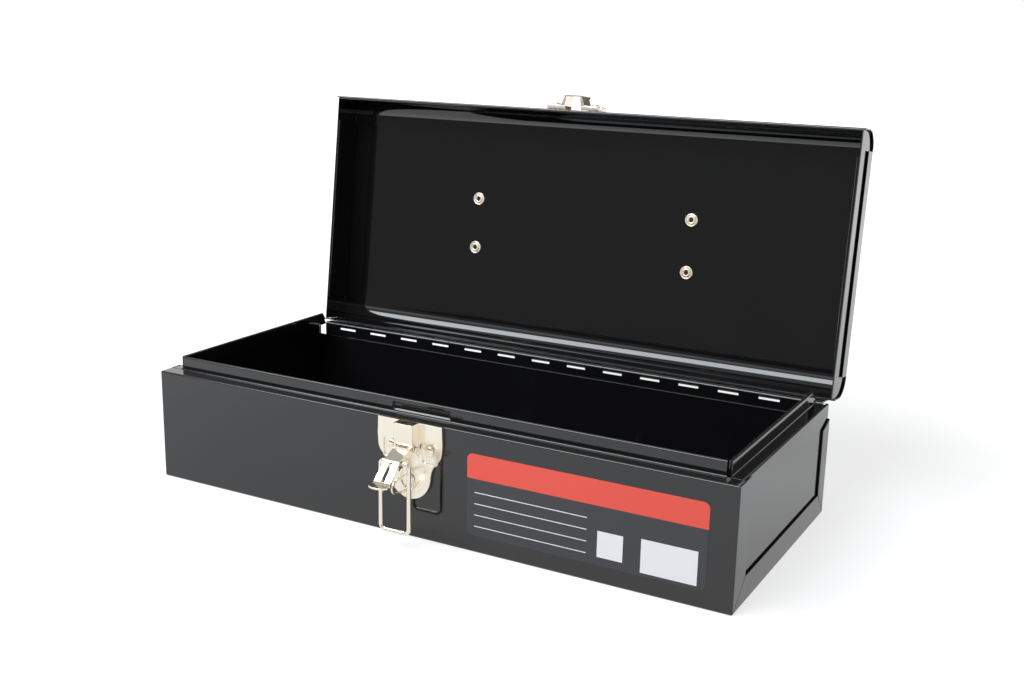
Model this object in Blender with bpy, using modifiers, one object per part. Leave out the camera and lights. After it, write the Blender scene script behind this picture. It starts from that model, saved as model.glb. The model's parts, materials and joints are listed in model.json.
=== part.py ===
"""Small folded-steel toolbox with a piano hinge, a draw latch and a folding handle.

World axes: X along the box, Y towards the hinge, Z up. The origin is the middle of
the underside. Lid pieces are modelled on the closed lid and then turned open about
the hinge pin. All sizes are in metres.
"""

import math

import bmesh
import bpy
from mathutils import Matrix, Vector

# The box

LENGTH = 0.3556
WIDTH = 0.1524
HEIGHT = 0.0889
BODY_HEIGHT = 0.0649
SHEET = 0.0008
CLEARANCE = 0.0003
FOLD_RADIUS = 0.0009
HEM_HEIGHT = 0.0046
HEM_SLIT = 0.0005
OVERRUN = 0.01

FRONT_FLANGE = 0.0162
BOTTOM_FLANGE = 0.014
REAR_FLANGE = 0.0122
MITRE_SLIT = 0.0004
REAR_WALL_DROP = 0.0089
REAR_FLANGE_SLOPE = 0.004

FRONT_LEDGE = 0.0087
END_LEDGE = 0.0078
LIP_HEIGHT = 0.008
LIP_NOTCH = 0.0016
LIP_REAR_STOP = 0.0042
LIP_REAR_SLANT = 0.005

POCKET_LENGTH = 0.036
POCKET_HEIGHT = 0.0046
POCKET_DEPTH = 0.0012
POCKET_RAMP = 0.0008

# The lid

LID_CORNER_SHARE = 0.507
LID_END_CORNER_SHARE = 0.697
LID_TOP_FLANGE_SHARE = 0.42
LID_REAR_CUT = 0.0023
LID_OPEN_ANGLE = math.radians(97)
LID_HEM_STOP = 0.015

# The piano hinge

KNUCKLES = 28
KNUCKLE_PITCH = 0.01235
LEAF_SHEET = 0.0007
LEAF_REACH = 0.0165
PIN_RADIUS = 0.0007
PIN_PEEN = 0.0006
HINGE_BELOW_LEDGE = 0.0019
NOTCH_RELIEF = 0.0009
CURL_ANGLE = math.radians(305)

# The latch

LATCH_X = -0.0018
LATCH_SHEET = 0.0009
LATCH_HALF_WIDTH = 0.0198
LATCH_TALL = 0.0427
LATCH_TRAY = 0.0019
LATCH_EDGE = 0.0007
LATCH_OUTLINE_SHARES = (
    (0.0, 0.0), (0.2, 0.016), (0.4, 0.068), (0.55, 0.148), (0.635, 0.25),
    (0.665, 0.36), (0.72, 0.44), (0.82, 0.51), (0.945, 0.575), (1.0, 0.66), (1.0, 1.0),
)

BRIDGE_WIDTH = 0.0118
BRIDGE_REACH = 0.0068
BRIDGE_FRONT_DROP = 0.0102
BRIDGE_ROOT_DROP = 0.0198

RIVET_SPREAD = 0.012
RIVET_DROP = 0.0143
RIVET_POCKET_WIDTH = 0.0088
RIVET_POCKET_TALL = 0.0112
RIVET_POCKET_DEPTH = 0.0008
RIVET_POCKET_SHIFT = 0.0016
LOW_RIVET_UP = 0.011
LOW_DIMPLE_RADIUS = 0.0058
RIVET_HEAD = 0.0027
RIVET_DOME = 0.0012
RIVET_SHANK = 0.0015

LEVER_PIN_OUT = 0.0049
LEVER_PIN_DROP = 0.0134
LEVER_PIN_RADIUS = 0.0009
LEVER_PIN_HEAD = 0.0016
LEVER_PIN_HEAD_TALL = 0.0007
LEVER_PIN_CROWN = 0.0011
LEVER_WIDTH = 0.0094
LEVER_FLARE = 0.0005
LEVER_ROOT_BACK = 0.001
LEVER_ROOT_RISE = 0.0026
LEVER_SHOULDER_RUN = 0.0082
LEVER_SHOULDER_FALL = 0.0026
LEVER_CREASE_RUN = 0.0066
LEVER_CREASE_FALL = 0.0032
LEVER_FACE_LENGTH = 0.0135
LEVER_FACE_ANGLE = math.radians(46)
LEVER_BEND = 0.0016
LEVER_SLOT_WIDTH = 0.0022
LEVER_SLOT_LENGTH = 0.0114
LEVER_CLOSE_ANGLE = math.radians(46)
TAB_SHEET = 0.0011
TAB_HALF_WIDTH = 0.006
TAB_HALF_DEPTH = 0.0042
CHEEK_EYE = 0.0022
CHEEK_REACH = 0.0026

BAIL_OUT = 0.0111
BAIL_DROP = 0.0048
BAIL_WIRE = 0.00115
BAIL_WIDTH = 0.0175
BAIL_LENGTH = 0.0382
BAIL_CORNER = 0.003
BAIL_EYE_CORNER = 0.0022
BAIL_END_INSET = 0.0009

LOOP_SHEET = 0.001
LOOP_BAR = 0.0015
LOOP_TALL = 0.0122
LOOP_REACH = 0.0168
LOOP_DROP = 0.0007
LOOP_SHARES = ((0.0, 1.0), (0.5, 0.78), (0.85, 0.58), (1.0, 0.0))

# The keeper on the lid

KEEPER_WIDTH = 0.0376
KEEPER_TALL = 0.0112
KEEPER_TRAY = 0.0028
KEEPER_RAISE = 0.0016
KEEPER_CORNER = 0.003
HUMP_WIDTH = 0.0112
HUMP_SPREAD = 0.0024
HUMP_REACH = 0.0062
HUMP_LIP = 0.0026
KEEPER_RIVET_SPREAD = 0.0134

# The handle

HANDLE_SPREAD = 0.0745
HANDLE_RIVET_SPREAD = 0.016
HANDLE_WIRE = 0.0028
HANDLE_HALF_SPAN = 0.0605
HANDLE_DROP = 0.037
HANDLE_CORNER = 0.009
HANDLE_EYE_CORNER = 0.0056
HANDLE_END_PAST = 0.0022
GRIP_RADIUS = 0.0052
GRIP_LENGTH = 0.088
GRIP_BEAD = 0.0006
GRIP_BEAD_LENGTH = 0.0022
SADDLE_WIDTH = 0.0145
SADDLE_SHEET = 0.0012
SADDLE_FOOT = 0.0235
SADDLE_BEND = 0.0016
SADDLE_CORNER = 0.004
HANDLE_RIVET_HEAD = 0.0041
HANDLE_RIVET_SHANK = 0.0026
HANDLE_RIVET_BORE = 0.0019
HANDLE_RIVET_DOME = 0.0014
HANDLE_RIVET_RING = 0.001

# Rounding counts

ARC_STEPS = 4
WIDE_ARC_STEPS = 8
CURL_STEPS = 12
TURN_STEPS = 16
DOME_SHARES = ((0.0, 1.0), (0.5, 0.87), (0.87, 0.5), (1.0, 0.0))

# Places worked out from the sizes above

HALF_LENGTH = LENGTH / 2
HALF_WIDTH = WIDTH / 2
LID_RIM = BODY_HEIGHT + CLEARANCE
LID_HEIGHT = HEIGHT - LID_RIM
LID_CORNER = LID_HEIGHT * LID_CORNER_SHARE
LID_END_CORNER = LID_HEIGHT * LID_END_CORNER_SHARE
LID_TOP_FLANGE = LID_HEIGHT * LID_TOP_FLANGE_SHARE
HEM_DEPTH = 2 * SHEET + HEM_SLIT
END_FACE = HALF_LENGTH - SHEET - CLEARANCE
PANEL_SIDE = HALF_WIDTH - SHEET - CLEARANCE

BARREL_BORE = PIN_RADIUS + CLEARANCE
BARREL_RADIUS = BARREL_BORE + LEAF_SHEET
HINGE_Y = HALF_WIDTH + CLEARANCE + BARREL_RADIUS
HINGE_Z = BODY_HEIGHT - HINGE_BELOW_LEDGE
HINGE_LENGTH = KNUCKLES * KNUCKLE_PITCH
HINGE_START = -HINGE_LENGTH / 2

LATCH_BACK = -HALF_WIDTH - CLEARANCE
LATCH_FRONT = LATCH_BACK - LATCH_TRAY
LATCH_TOP = LID_RIM
LATCH_FOOT = LATCH_TOP - LATCH_TALL
BRIDGE_FRONT = LATCH_FRONT - BRIDGE_REACH
BRIDGE_TOP = LATCH_TOP + CLEARANCE
RIVET_Z = LATCH_TOP - RIVET_DROP
LOW_RIVET_Z = LATCH_FOOT + LOW_RIVET_UP
LEVER_PIN_Y = -HALF_WIDTH - LEVER_PIN_OUT
LEVER_PIN_Z = LATCH_TOP - LEVER_PIN_DROP
BAIL_Y = LEVER_PIN_Y - BAIL_OUT
BAIL_Z = LEVER_PIN_Z - BAIL_DROP
BAIL_HALF = BAIL_WIDTH / 2

KEEPER_FRONT = LATCH_BACK - KEEPER_TRAY
KEEPER_FOOT = LID_RIM + KEEPER_RAISE
KEEPER_MIDDLE = KEEPER_FOOT + KEEPER_TALL / 2
HUMP_FRONT = KEEPER_FRONT - HUMP_REACH
HUMP_LIP_FACE = HUMP_FRONT + LATCH_SHEET

# With the lever pushed down the bail stands up from its eyes, its end wire in the hump

BAIL_ARM = math.hypot(BAIL_OUT, BAIL_DROP)
BAIL_ARM_ANGLE = math.atan2(BAIL_DROP, BAIL_OUT) + LEVER_CLOSE_ANGLE
SHUT_EYE_Y = LEVER_PIN_Y - BAIL_ARM * math.cos(BAIL_ARM_ANGLE)
SHUT_EYE_Z = LEVER_PIN_Z - BAIL_ARM * math.sin(BAIL_ARM_ANGLE)
CATCH_Y = HUMP_LIP_FACE + CLEARANCE + BAIL_WIRE
CATCH_Z = SHUT_EYE_Z + math.sqrt(BAIL_LENGTH ** 2 - (CATCH_Y - SHUT_EYE_Y) ** 2)
HUMP_SEAT = CATCH_Z - BAIL_WIRE - CLEARANCE
HUMP_TOP = HUMP_SEAT + HUMP_LIP

SADDLE_SEAT = HEIGHT + CLEARANCE
HANDLE_Z = SADDLE_SEAT + HANDLE_WIRE + CLEARANCE

HANDLE_HANG = LID_OPEN_ANGLE - math.pi / 2


def start_scene():
    """Empty the scene and return the part's collection and the cutters' collection."""
    for old in list(bpy.data.objects):
        bpy.data.objects.remove(old, do_unlink=True)
    part = bpy.data.collections.new("toolbox")
    cutters = bpy.data.collections.new("cutters")
    for collection in (part, cutters):
        bpy.context.scene.collection.children.link(collection)
    return part, cutters


PART, CUTTERS = start_scene()


def finish(name, colour, roughness, metallic=0.0):
    """Return a Principled material."""
    material = bpy.data.materials.new(name)
    material.use_nodes = True
    shader = material.node_tree.nodes["Principled BSDF"]
    shader.inputs["Base Color"].default_value = (*colour, 1.0)
    shader.inputs["Roughness"].default_value = roughness
    shader.inputs["Metallic"].default_value = metallic
    return material


def gloss_black(name):
    return finish(name + "_paint", (0.012, 0.012, 0.013), 0.16)


def bright_nickel(name):
    return finish(name + "_nickel", (0.72, 0.68, 0.6), 0.2, 1.0)


def object_from(name, bm, material=None):
    """Put a bmesh in an object: a part when it has a material, a cutter when not."""
    mesh = bpy.data.meshes.new(name)
    bm.to_mesh(mesh)
    bm.free()
    made = bpy.data.objects.new(name, mesh)
    if material:
        mesh.materials.append(material)
        PART.objects.link(made)
    else:
        CUTTERS.objects.link(made)
        made.hide_render = True
        made.display_type = "WIRE"
    return made


def smooth(made):
    """Shade round pieces smooth and keep their real edges sharp."""
    for face in made.data.polygons:
        face.use_smooth = True
    made.data.set_sharp_from_angle(angle=math.radians(35))
    return made


def block_mesh(low, high):
    """Return a bmesh cuboid between two corners."""
    bm = bmesh.new()
    bmesh.ops.create_cube(bm, size=1.0)
    middle = (Vector(low) + Vector(high)) / 2
    size = [abs(a - b) for a, b in zip(low, high)]
    bmesh.ops.scale(bm, vec=size, verts=bm.verts)
    bmesh.ops.translate(bm, vec=middle, verts=bm.verts)
    return bm


def round_edges(bm, chosen, radius, steps=ARC_STEPS):
    """Round the chosen edges of a bmesh."""
    bmesh.ops.bevel(
        bm, geom=chosen, offset=radius, offset_type="OFFSET", segments=steps,
        profile=0.5, affect="EDGES", clamp_overlap=True, material=-1,
    )


def runs_along(edge, axis):
    """True when an edge is parallel to a main axis."""
    way = edge.verts[1].co - edge.verts[0].co
    return abs(way[axis]) > way.length * 0.999


def sharp_edges(bm, least=math.radians(50)):
    """Return the edges where two faces meet at a fold."""
    return [e for e in bm.edges if len(e.link_faces) == 2 and e.calc_face_angle() > least]


def block_cutter(name, low, high, rounded_axis=None, radius=0.0, steps=ARC_STEPS):
    """Return a cuboid cutter, if asked with its edges along one axis rounded."""
    bm = block_mesh(low, high)
    if rounded_axis is not None:
        round_edges(bm, [e for e in bm.edges if runs_along(e, rounded_axis)], radius, steps)
    return object_from(name, bm)


def rod_mesh(centre, half_length, radius, axis, steps=TURN_STEPS):
    """Return a bmesh cylinder whose middle is at centre, along a main axis."""
    bm = bmesh.new()
    bmesh.ops.create_cone(
        bm, cap_ends=True, segments=steps, radius1=radius, radius2=radius,
        depth=2 * half_length,
    )
    turns = {
        "X": Matrix.Rotation(math.pi / 2, 4, "Y"),
        "Y": Matrix.Rotation(math.pi / 2, 4, "X"),
        "Z": Matrix.Identity(4),
    }
    bmesh.ops.transform(bm, matrix=Matrix.Translation(centre) @ turns[axis], verts=bm.verts)
    return bm


def rod_cutter(name, centre, half_length, radius, axis, steps=TURN_STEPS):
    return object_from(name, rod_mesh(centre, half_length, radius, axis, steps))


def combine(target, operation, *tools, solver="EXACT"):
    """Join or cut a part with other solids, one Boolean modifier for each.

    Hemmed sheets, whose layers almost touch, need the MANIFOLD solver."""
    for tool in tools:
        modifier = target.modifiers.new(tool.name, "BOOLEAN")
        modifier.operation = operation
        modifier.solver = solver
        modifier.object = tool
    return target


def thicken(made, thickness, offset=-1.0):
    """Give an open surface its sheet thickness."""
    modifier = made.modifiers.new("sheet", "SOLIDIFY")
    modifier.thickness = thickness
    modifier.offset = offset
    modifier.use_even_offset = True
    return made


def face_outwards(bm, probe, normal):
    """Point the faces of an open surface the way the face nearest the probe should."""
    bmesh.ops.recalc_face_normals(bm, faces=bm.faces)
    nearest = min(bm.faces, key=lambda f: (f.calc_center_median() - Vector(probe)).length)
    if nearest.normal.dot(Vector(normal)) < 0:
        bmesh.ops.reverse_faces(bm, faces=bm.faces)


def split(bm, point, normal, faces=None):
    """Cut all faces, or the given ones, along a plane and keep both sides."""
    chosen = faces or bm.faces[:]
    edges = list(dict.fromkeys(e for f in chosen for e in f.edges))
    verts = list(dict.fromkeys(v for f in chosen for v in f.verts))
    bmesh.ops.bisect_plane(bm, geom=verts + edges + chosen, plane_co=point, plane_no=normal)


def drop_faces(bm, unwanted):
    """Delete the faces whose centre passes a test."""
    chosen = [f for f in bm.faces if unwanted(f.calc_center_median(), f.normal)]
    bmesh.ops.delete(bm, geom=chosen, context="FACES")


def pull_edges(bm, edges, step):
    """Extrude open edges by a step and return the new outer edges."""
    made = bmesh.ops.extrude_edge_only(bm, edges=edges)["geom"]
    verts = [g for g in made if isinstance(g, bmesh.types.BMVert)]
    bmesh.ops.translate(bm, verts=verts, vec=step)
    moved = set(verts)
    return [g for g in made if isinstance(g, bmesh.types.BMEdge) and moved.issuperset(g.verts)]


def swept_sheet(path, start, run):
    """Sweep a line of points along a run, as an open folded surface."""
    bm = bmesh.new()
    verts = [bm.verts.new(Vector(start) + Vector(point)) for point in path]
    edges = [bm.edges.new(pair) for pair in zip(verts, verts[1:])]
    pull_edges(bm, edges, run)
    return bm


def outline_solid(name, points, half_thickness, place, material=None, smooth_points=()):
    """Turn a flat closed outline into a solid plate, stood up by the matrix place.

    The points whose numbers are in smooth_points are passed in a smooth curve."""
    curve = bpy.data.curves.new(name, "CURVE")
    curve.dimensions = "2D"
    curve.fill_mode = "BOTH"
    curve.extrude = half_thickness
    curve.resolution_u = 3
    spline = curve.splines.new("BEZIER")
    spline.bezier_points.add(len(points) - 1)
    spline.use_cyclic_u = True
    for number, (knot, point) in enumerate(zip(spline.bezier_points, points)):
        knot.co = (*point, 0)
        kind = "AUTO" if number in smooth_points else "VECTOR"
        knot.handle_left_type = kind
        knot.handle_right_type = kind
    drawn = bpy.data.objects.new(name + "_outline", curve)
    bpy.context.scene.collection.objects.link(drawn)
    view = bpy.context.evaluated_depsgraph_get()
    mesh = bpy.data.meshes.new_from_object(drawn.evaluated_get(view))
    bm = bmesh.new()
    bm.from_mesh(mesh)
    bmesh.ops.remove_doubles(bm, verts=bm.verts, dist=CLEARANCE / 10)
    bmesh.ops.transform(bm, matrix=place, verts=bm.verts)
    bmesh.ops.recalc_face_normals(bm, faces=bm.faces)
    bpy.data.objects.remove(drawn)
    bpy.data.meshes.remove(mesh)
    return object_from(name, bm, material)


def wire(name, points, radius, corner_radii, material=None, steps=ARC_STEPS, sides=2):
    """Bend a round wire through its corner points, each with a bend radius."""
    route = [Vector(points[0])]
    for i in range(1, len(points) - 1):
        here = Vector(points[i])
        back = (Vector(points[i - 1]) - here).normalized()
        ahead = (Vector(points[i + 1]) - here).normalized()
        half_turn = back.angle(ahead) / 2
        bend = corner_radii[i - 1]
        reach = bend / math.tan(half_turn)
        centre = here + (back + ahead).normalized() * (bend / math.sin(half_turn))
        first = (here + back * reach - centre).normalized()
        last = (here + ahead * reach - centre).normalized()
        for step in range(steps + 1):
            route.append(centre + first.slerp(last, step / steps) * bend)
    route.append(Vector(points[-1]))
    curve = bpy.data.curves.new(name, "CURVE")
    curve.dimensions = "3D"
    curve.bevel_depth = radius
    curve.bevel_resolution = sides
    curve.use_fill_caps = True
    spline = curve.splines.new("POLY")
    spline.points.add(len(route) - 1)
    for knot, place in zip(spline.points, route):
        knot.co = (*place, 1)
    made = bpy.data.objects.new(name, curve)
    if material:
        curve.materials.append(material)
    PART.objects.link(made)
    weld = made.modifiers.new("caps", "WELD")
    weld.merge_threshold = CLEARANCE / 10
    return made


def turned(name, profile, place, material, steps=TURN_STEPS):
    """Turn a profile of (radius, height) points, topmost first, round the local Z axis.

    A profile that starts clear of the axis is a ring's, and is closed."""
    bm = bmesh.new()
    verts = [bm.verts.new((radius, 0, height)) for radius, height in profile]
    for pair in zip(verts, verts[1:]):
        bm.edges.new(pair)
    if profile[0][0] > 0:
        bm.edges.new((verts[-1], verts[0]))
    made = object_from(name, bm, material)
    made.matrix_world = place
    turn = made.modifiers.new("turn", "SCREW")
    turn.steps = steps
    turn.render_steps = steps
    turn.use_smooth_shade = True
    turn.use_merge_vertices = True
    turn.merge_threshold = CLEARANCE / 30
    return made


def facing(x, y, z, turn, axis):
    """Return the matrix that stands a local Z axis up elsewhere."""
    return Matrix.Translation((x, y, z)) @ Matrix.Rotation(turn, 4, axis)


def pivot(name, x, y, z):
    """Return an empty on a joint's axis."""
    made = bpy.data.objects.new(name, None)
    made.location = (x, y, z)
    PART.objects.link(made)
    return made


def with_tools(piece):
    """Yield an object and every object that its Booleans use."""
    yield piece
    for modifier in piece.modifiers:
        if modifier.type == "BOOLEAN":
            yield from with_tools(modifier.object)


def hang(axis, *pieces):
    """Hang pieces, where they stand, on the empty of the joint that moves them."""
    for piece in pieces:
        for rider in with_tools(piece):
            rider.parent = axis
            rider.matrix_parent_inverse = Matrix.Translation(-axis.location)


# The body


def body_shell():
    """Front, bottom and rear in one folded sheet, with flanges round the ends."""
    bm = block_mesh((-HALF_LENGTH, -HALF_WIDTH, 0), (HALF_LENGTH, HALF_WIDTH, BODY_HEIGHT))
    ledge_edge = FRONT_LEDGE - HALF_WIDTH
    rear_wall_top = BODY_HEIGHT - REAR_WALL_DROP
    front_stop = FRONT_FLANGE - HALF_WIDTH
    rear_stop = HALF_WIDTH - REAR_FLANGE
    for y in (ledge_edge, front_stop, rear_stop):
        split(bm, (0, y, 0), (0, 1, 0))
    for z in (rear_wall_top, BOTTOM_FLANGE):
        split(bm, (0, 0, z), (0, 0, 1))

    def is_open(centre, normal):
        top = normal.z > 0.5 and centre.y > ledge_edge
        end = abs(normal.x) > 0.5
        window = end and front_stop < centre.y < rear_stop and centre.z > BOTTOM_FLANGE
        over_rear = (end or normal.y > 0.5) and centre.y > rear_stop and centre.z > rear_wall_top
        return top or window or over_rear

    drop_faces(bm, is_open)
    lip_end = HALF_LENGTH - END_LEDGE - HEM_DEPTH - CLEARANCE
    for x in (-lip_end, lip_end):
        ledge = [f for f in bm.faces if f.calc_center_median().z > BODY_HEIGHT - CLEARANCE]
        split(bm, (x, 0, 0), (1, 0, 0), ledge)
    lip = [
        e for e in bm.edges
        if len(e.link_faces) == 1 and runs_along(e, 0) and e.verts[0].co.z > BOTTOM_FLANGE
        and all(abs(v.co.y - ledge_edge) < CLEARANCE for v in e.verts)
        and all(abs(v.co.x) < lip_end + CLEARANCE for v in e.verts)
    ]
    top = pull_edges(bm, lip, (0, 0, LIP_HEIGHT))
    turn = pull_edges(bm, top, (0, HEM_DEPTH, 0))
    pull_edges(bm, turn, (0, 0, -HEM_HEIGHT))
    face_outwards(bm, (0, -HALF_WIDTH, 0), (0, -1, 0))
    round_edges(bm, sharp_edges(bm), FOLD_RADIUS, 3)
    shell = thicken(object_from("body_shell", bm, gloss_black("body")), SHEET)

    slants = []
    for side, way in (("left", -1), ("right", 1)):
        bm = block_mesh(
            (way * (HALF_LENGTH - 2 * SHEET), rear_stop - OVERRUN, rear_wall_top),
            (way * (HALF_LENGTH + OVERRUN), HALF_WIDTH + OVERRUN, rear_wall_top + OVERRUN),
        )
        slope = math.atan2(REAR_FLANGE_SLOPE, REAR_FLANGE)
        pivot = Matrix.Translation((0, HALF_WIDTH, rear_wall_top))
        turn_down = pivot @ Matrix.Rotation(slope, 4, "X") @ pivot.inverted()
        bmesh.ops.transform(bm, matrix=turn_down, verts=bm.verts)
        slants.append(object_from("rear_slant_" + side, bm))
    mitres = []
    for side, way in (("left", -1), ("right", 1)):
        for corner, turn_way in (("front", -1), ("rear", 1)):
            flange = FRONT_FLANGE if turn_way < 0 else REAR_FLANGE
            reach = math.hypot(flange, BOTTOM_FLANGE)
            bm = block_mesh(
                (-2 * SHEET, -MITRE_SLIT / 2, FOLD_RADIUS),
                (OVERRUN, MITRE_SLIT / 2, reach + MITRE_SLIT),
            )
            lean = math.atan2(flange, BOTTOM_FLANGE) * turn_way
            corner_place = Matrix.Translation((way * HALF_LENGTH, turn_way * HALF_WIDTH, 0))
            face_way = Matrix.Rotation(0 if way > 0 else math.pi, 4, "Z")
            bmesh.ops.transform(
                bm, matrix=corner_place @ Matrix.Rotation(lean, 4, "X") @ face_way, verts=bm.verts,
            )
            mitres.append(object_from("mitre_" + side + "_" + corner, bm))
    combine(shell, "DIFFERENCE", *slants, *mitres, solver="MANIFOLD")
    combine(shell, "UNION", lip_pocket("lip_pocket_back", SHEET), solver="MANIFOLD")
    combine(shell, "DIFFERENCE", lip_pocket("lip_pocket_face", 0), solver="MANIFOLD")
    holes = [
        rod_cutter(
            name, (LATCH_X + x, -HALF_WIDTH, z), OVERRUN / 2, RIVET_SHANK + CLEARANCE, "Y",
        )
        for name, x, z in latch_rivet_places("shell_hole")
    ]
    return combine(shell, "DIFFERENCE", *holes, solver="MANIFOLD")


def lip_pocket(name, wall):
    """The pressed pocket in the front lip, or with a wall the metal behind it."""
    face = FRONT_LEDGE - HALF_WIDTH
    middle = BODY_HEIGHT + LIP_HEIGHT / 2 - POCKET_RAMP
    half_length = POCKET_LENGTH / 2 + wall
    half_height = POCKET_HEIGHT / 2 + wall
    back = face + POCKET_DEPTH + wall
    front = face + SHEET / 2 if wall else face - OVERRUN
    bm = block_mesh(
        (LATCH_X - half_length, front, middle - half_height),
        (LATCH_X + half_length, back, middle + half_height),
    )
    rim = [e for e in bm.edges if all(v.co.y > back - CLEARANCE for v in e.verts)]
    round_edges(bm, rim, POCKET_RAMP, 1)
    return object_from(name, bm)


def body_end(name, way):
    """An end panel with its ledge and hemmed lip, set inside the flanges."""
    lip_face = HALF_LENGTH - END_LEDGE
    foot = SHEET + CLEARANCE
    path = [
        (way * END_FACE, 0, foot),
        (way * END_FACE, 0, BODY_HEIGHT),
        (way * lip_face, 0, BODY_HEIGHT),
        (way * lip_face, 0, BODY_HEIGHT + LIP_HEIGHT),
        (way * (lip_face - HEM_DEPTH), 0, BODY_HEIGHT + LIP_HEIGHT),
        (way * (lip_face - HEM_DEPTH), 0, BODY_HEIGHT + LIP_HEIGHT - HEM_HEIGHT),
    ]
    bm = swept_sheet(path, (0, -PANEL_SIDE, 0), (0, 2 * PANEL_SIDE, 0))
    face_outwards(bm, (way * END_FACE, 0, foot), (way, 0, 0))
    round_edges(bm, sharp_edges(bm), FOLD_RADIUS, 3)
    panel = thicken(object_from(name, bm, gloss_black(name)), SHEET)

    front_lip = FRONT_LEDGE - HALF_WIDTH
    inside = lip_face - 2 * HEM_DEPTH
    above = BODY_HEIGHT + LIP_HEIGHT + OVERRUN
    ledge_notch = block_cutter(
        name + "_ledge_notch",
        (way * inside, -HALF_WIDTH - OVERRUN, BODY_HEIGHT - SHEET - CLEARANCE),
        (way * (HALF_LENGTH + OVERRUN), front_lip + CLEARANCE, above),
    )
    lip_notch = block_cutter(
        name + "_lip_notch",
        (way * inside, -HALF_WIDTH - OVERRUN, BODY_HEIGHT),
        (way * (lip_face + CLEARANCE), front_lip + LIP_NOTCH, above),
    )
    rear_edge = HALF_WIDTH - LIP_REAR_STOP
    bm = block_mesh(
        (way * inside, rear_edge, BODY_HEIGHT - SHEET / 2),
        (way * (lip_face + CLEARANCE), HALF_WIDTH + OVERRUN, above),
    )
    slant = math.atan2(LIP_REAR_SLANT, LIP_HEIGHT)
    pivot = Matrix.Translation((0, rear_edge, BODY_HEIGHT))
    bmesh.ops.transform(
        bm, matrix=pivot @ Matrix.Rotation(slant, 4, "X") @ pivot.inverted(), verts=bm.verts,
    )
    lip_slant = object_from(name + "_lip_slant", bm)
    rear_cut = block_cutter(
        name + "_rear_cut",
        (way * inside, rear_edge, BODY_HEIGHT - 2 * SHEET),
        (way * (END_FACE - 2 * SHEET), HALF_WIDTH + OVERRUN, above),
    )
    cuts = (ledge_notch, lip_notch, lip_slant, rear_cut)
    return combine(panel, "DIFFERENCE", *cuts, solver="MANIFOLD")


# The hinge


def hinge_leaf(name, up, own_share):
    """One leaf with every other knuckle rolled round the pin.

    The leaf hangs down from the pin, or stands up from it when up is 1."""
    leaf_y = HINGE_Y - BARREL_RADIUS + LEAF_SHEET / 2
    notch_z = HINGE_Z + up * (BARREL_RADIUS + NOTCH_RELIEF)
    bm = bmesh.new()
    heights = (HINGE_Z + up * LEAF_REACH, notch_z, HINGE_Z)
    line = [bm.verts.new((HINGE_START, leaf_y, z)) for z in heights]
    for pair in zip(line, line[1:]):
        bm.edges.new(pair)
    bmesh.ops.spin(
        bm, geom=[line[-1]], cent=(HINGE_START, HINGE_Y, HINGE_Z), axis=(1, 0, 0),
        angle=up * CURL_ANGLE, steps=CURL_STEPS,
    )
    bmesh.ops.remove_doubles(bm, verts=bm.verts, dist=CLEARANCE / 30)
    edges = bm.edges[:]
    for _ in range(KNUCKLES):
        edges = pull_edges(bm, edges, (KNUCKLE_PITCH - CLEARANCE, 0, 0))
        edges = pull_edges(bm, edges, (CLEARANCE, 0, 0))

    def is_gap(centre, _normal):
        along = (centre.x - HINGE_START) / KNUCKLE_PITCH
        in_gap = (along % 1.0) * KNUCKLE_PITCH > KNUCKLE_PITCH - CLEARANCE
        theirs = int(along) % 2 != own_share
        return (in_gap or theirs) and (centre.z - notch_z) * up < 0

    drop_faces(bm, is_gap)
    loose = [v for v in bm.verts if not v.link_faces]
    bmesh.ops.delete(bm, geom=loose, context="VERTS")
    bmesh.ops.recalc_face_normals(bm, faces=bm.faces)
    leaf = object_from(name, bm, gloss_black(name))
    return smooth(thicken(leaf, LEAF_SHEET, 0.0))


def hinge_pin():
    """The pin, with both ends peened over a little."""
    bm = rod_mesh((0, HINGE_Y, HINGE_Z), HINGE_LENGTH / 2 + PIN_PEEN, PIN_RADIUS, "X", 12)
    rims = [e for e in sharp_edges(bm) if abs(e.verts[0].co.x) > HINGE_LENGTH / 2]
    round_edges(bm, rims, PIN_RADIUS / 2, 2)
    return smooth(object_from("hinge_pin", bm, bright_nickel("hinge_pin")))


# The lid


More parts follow.
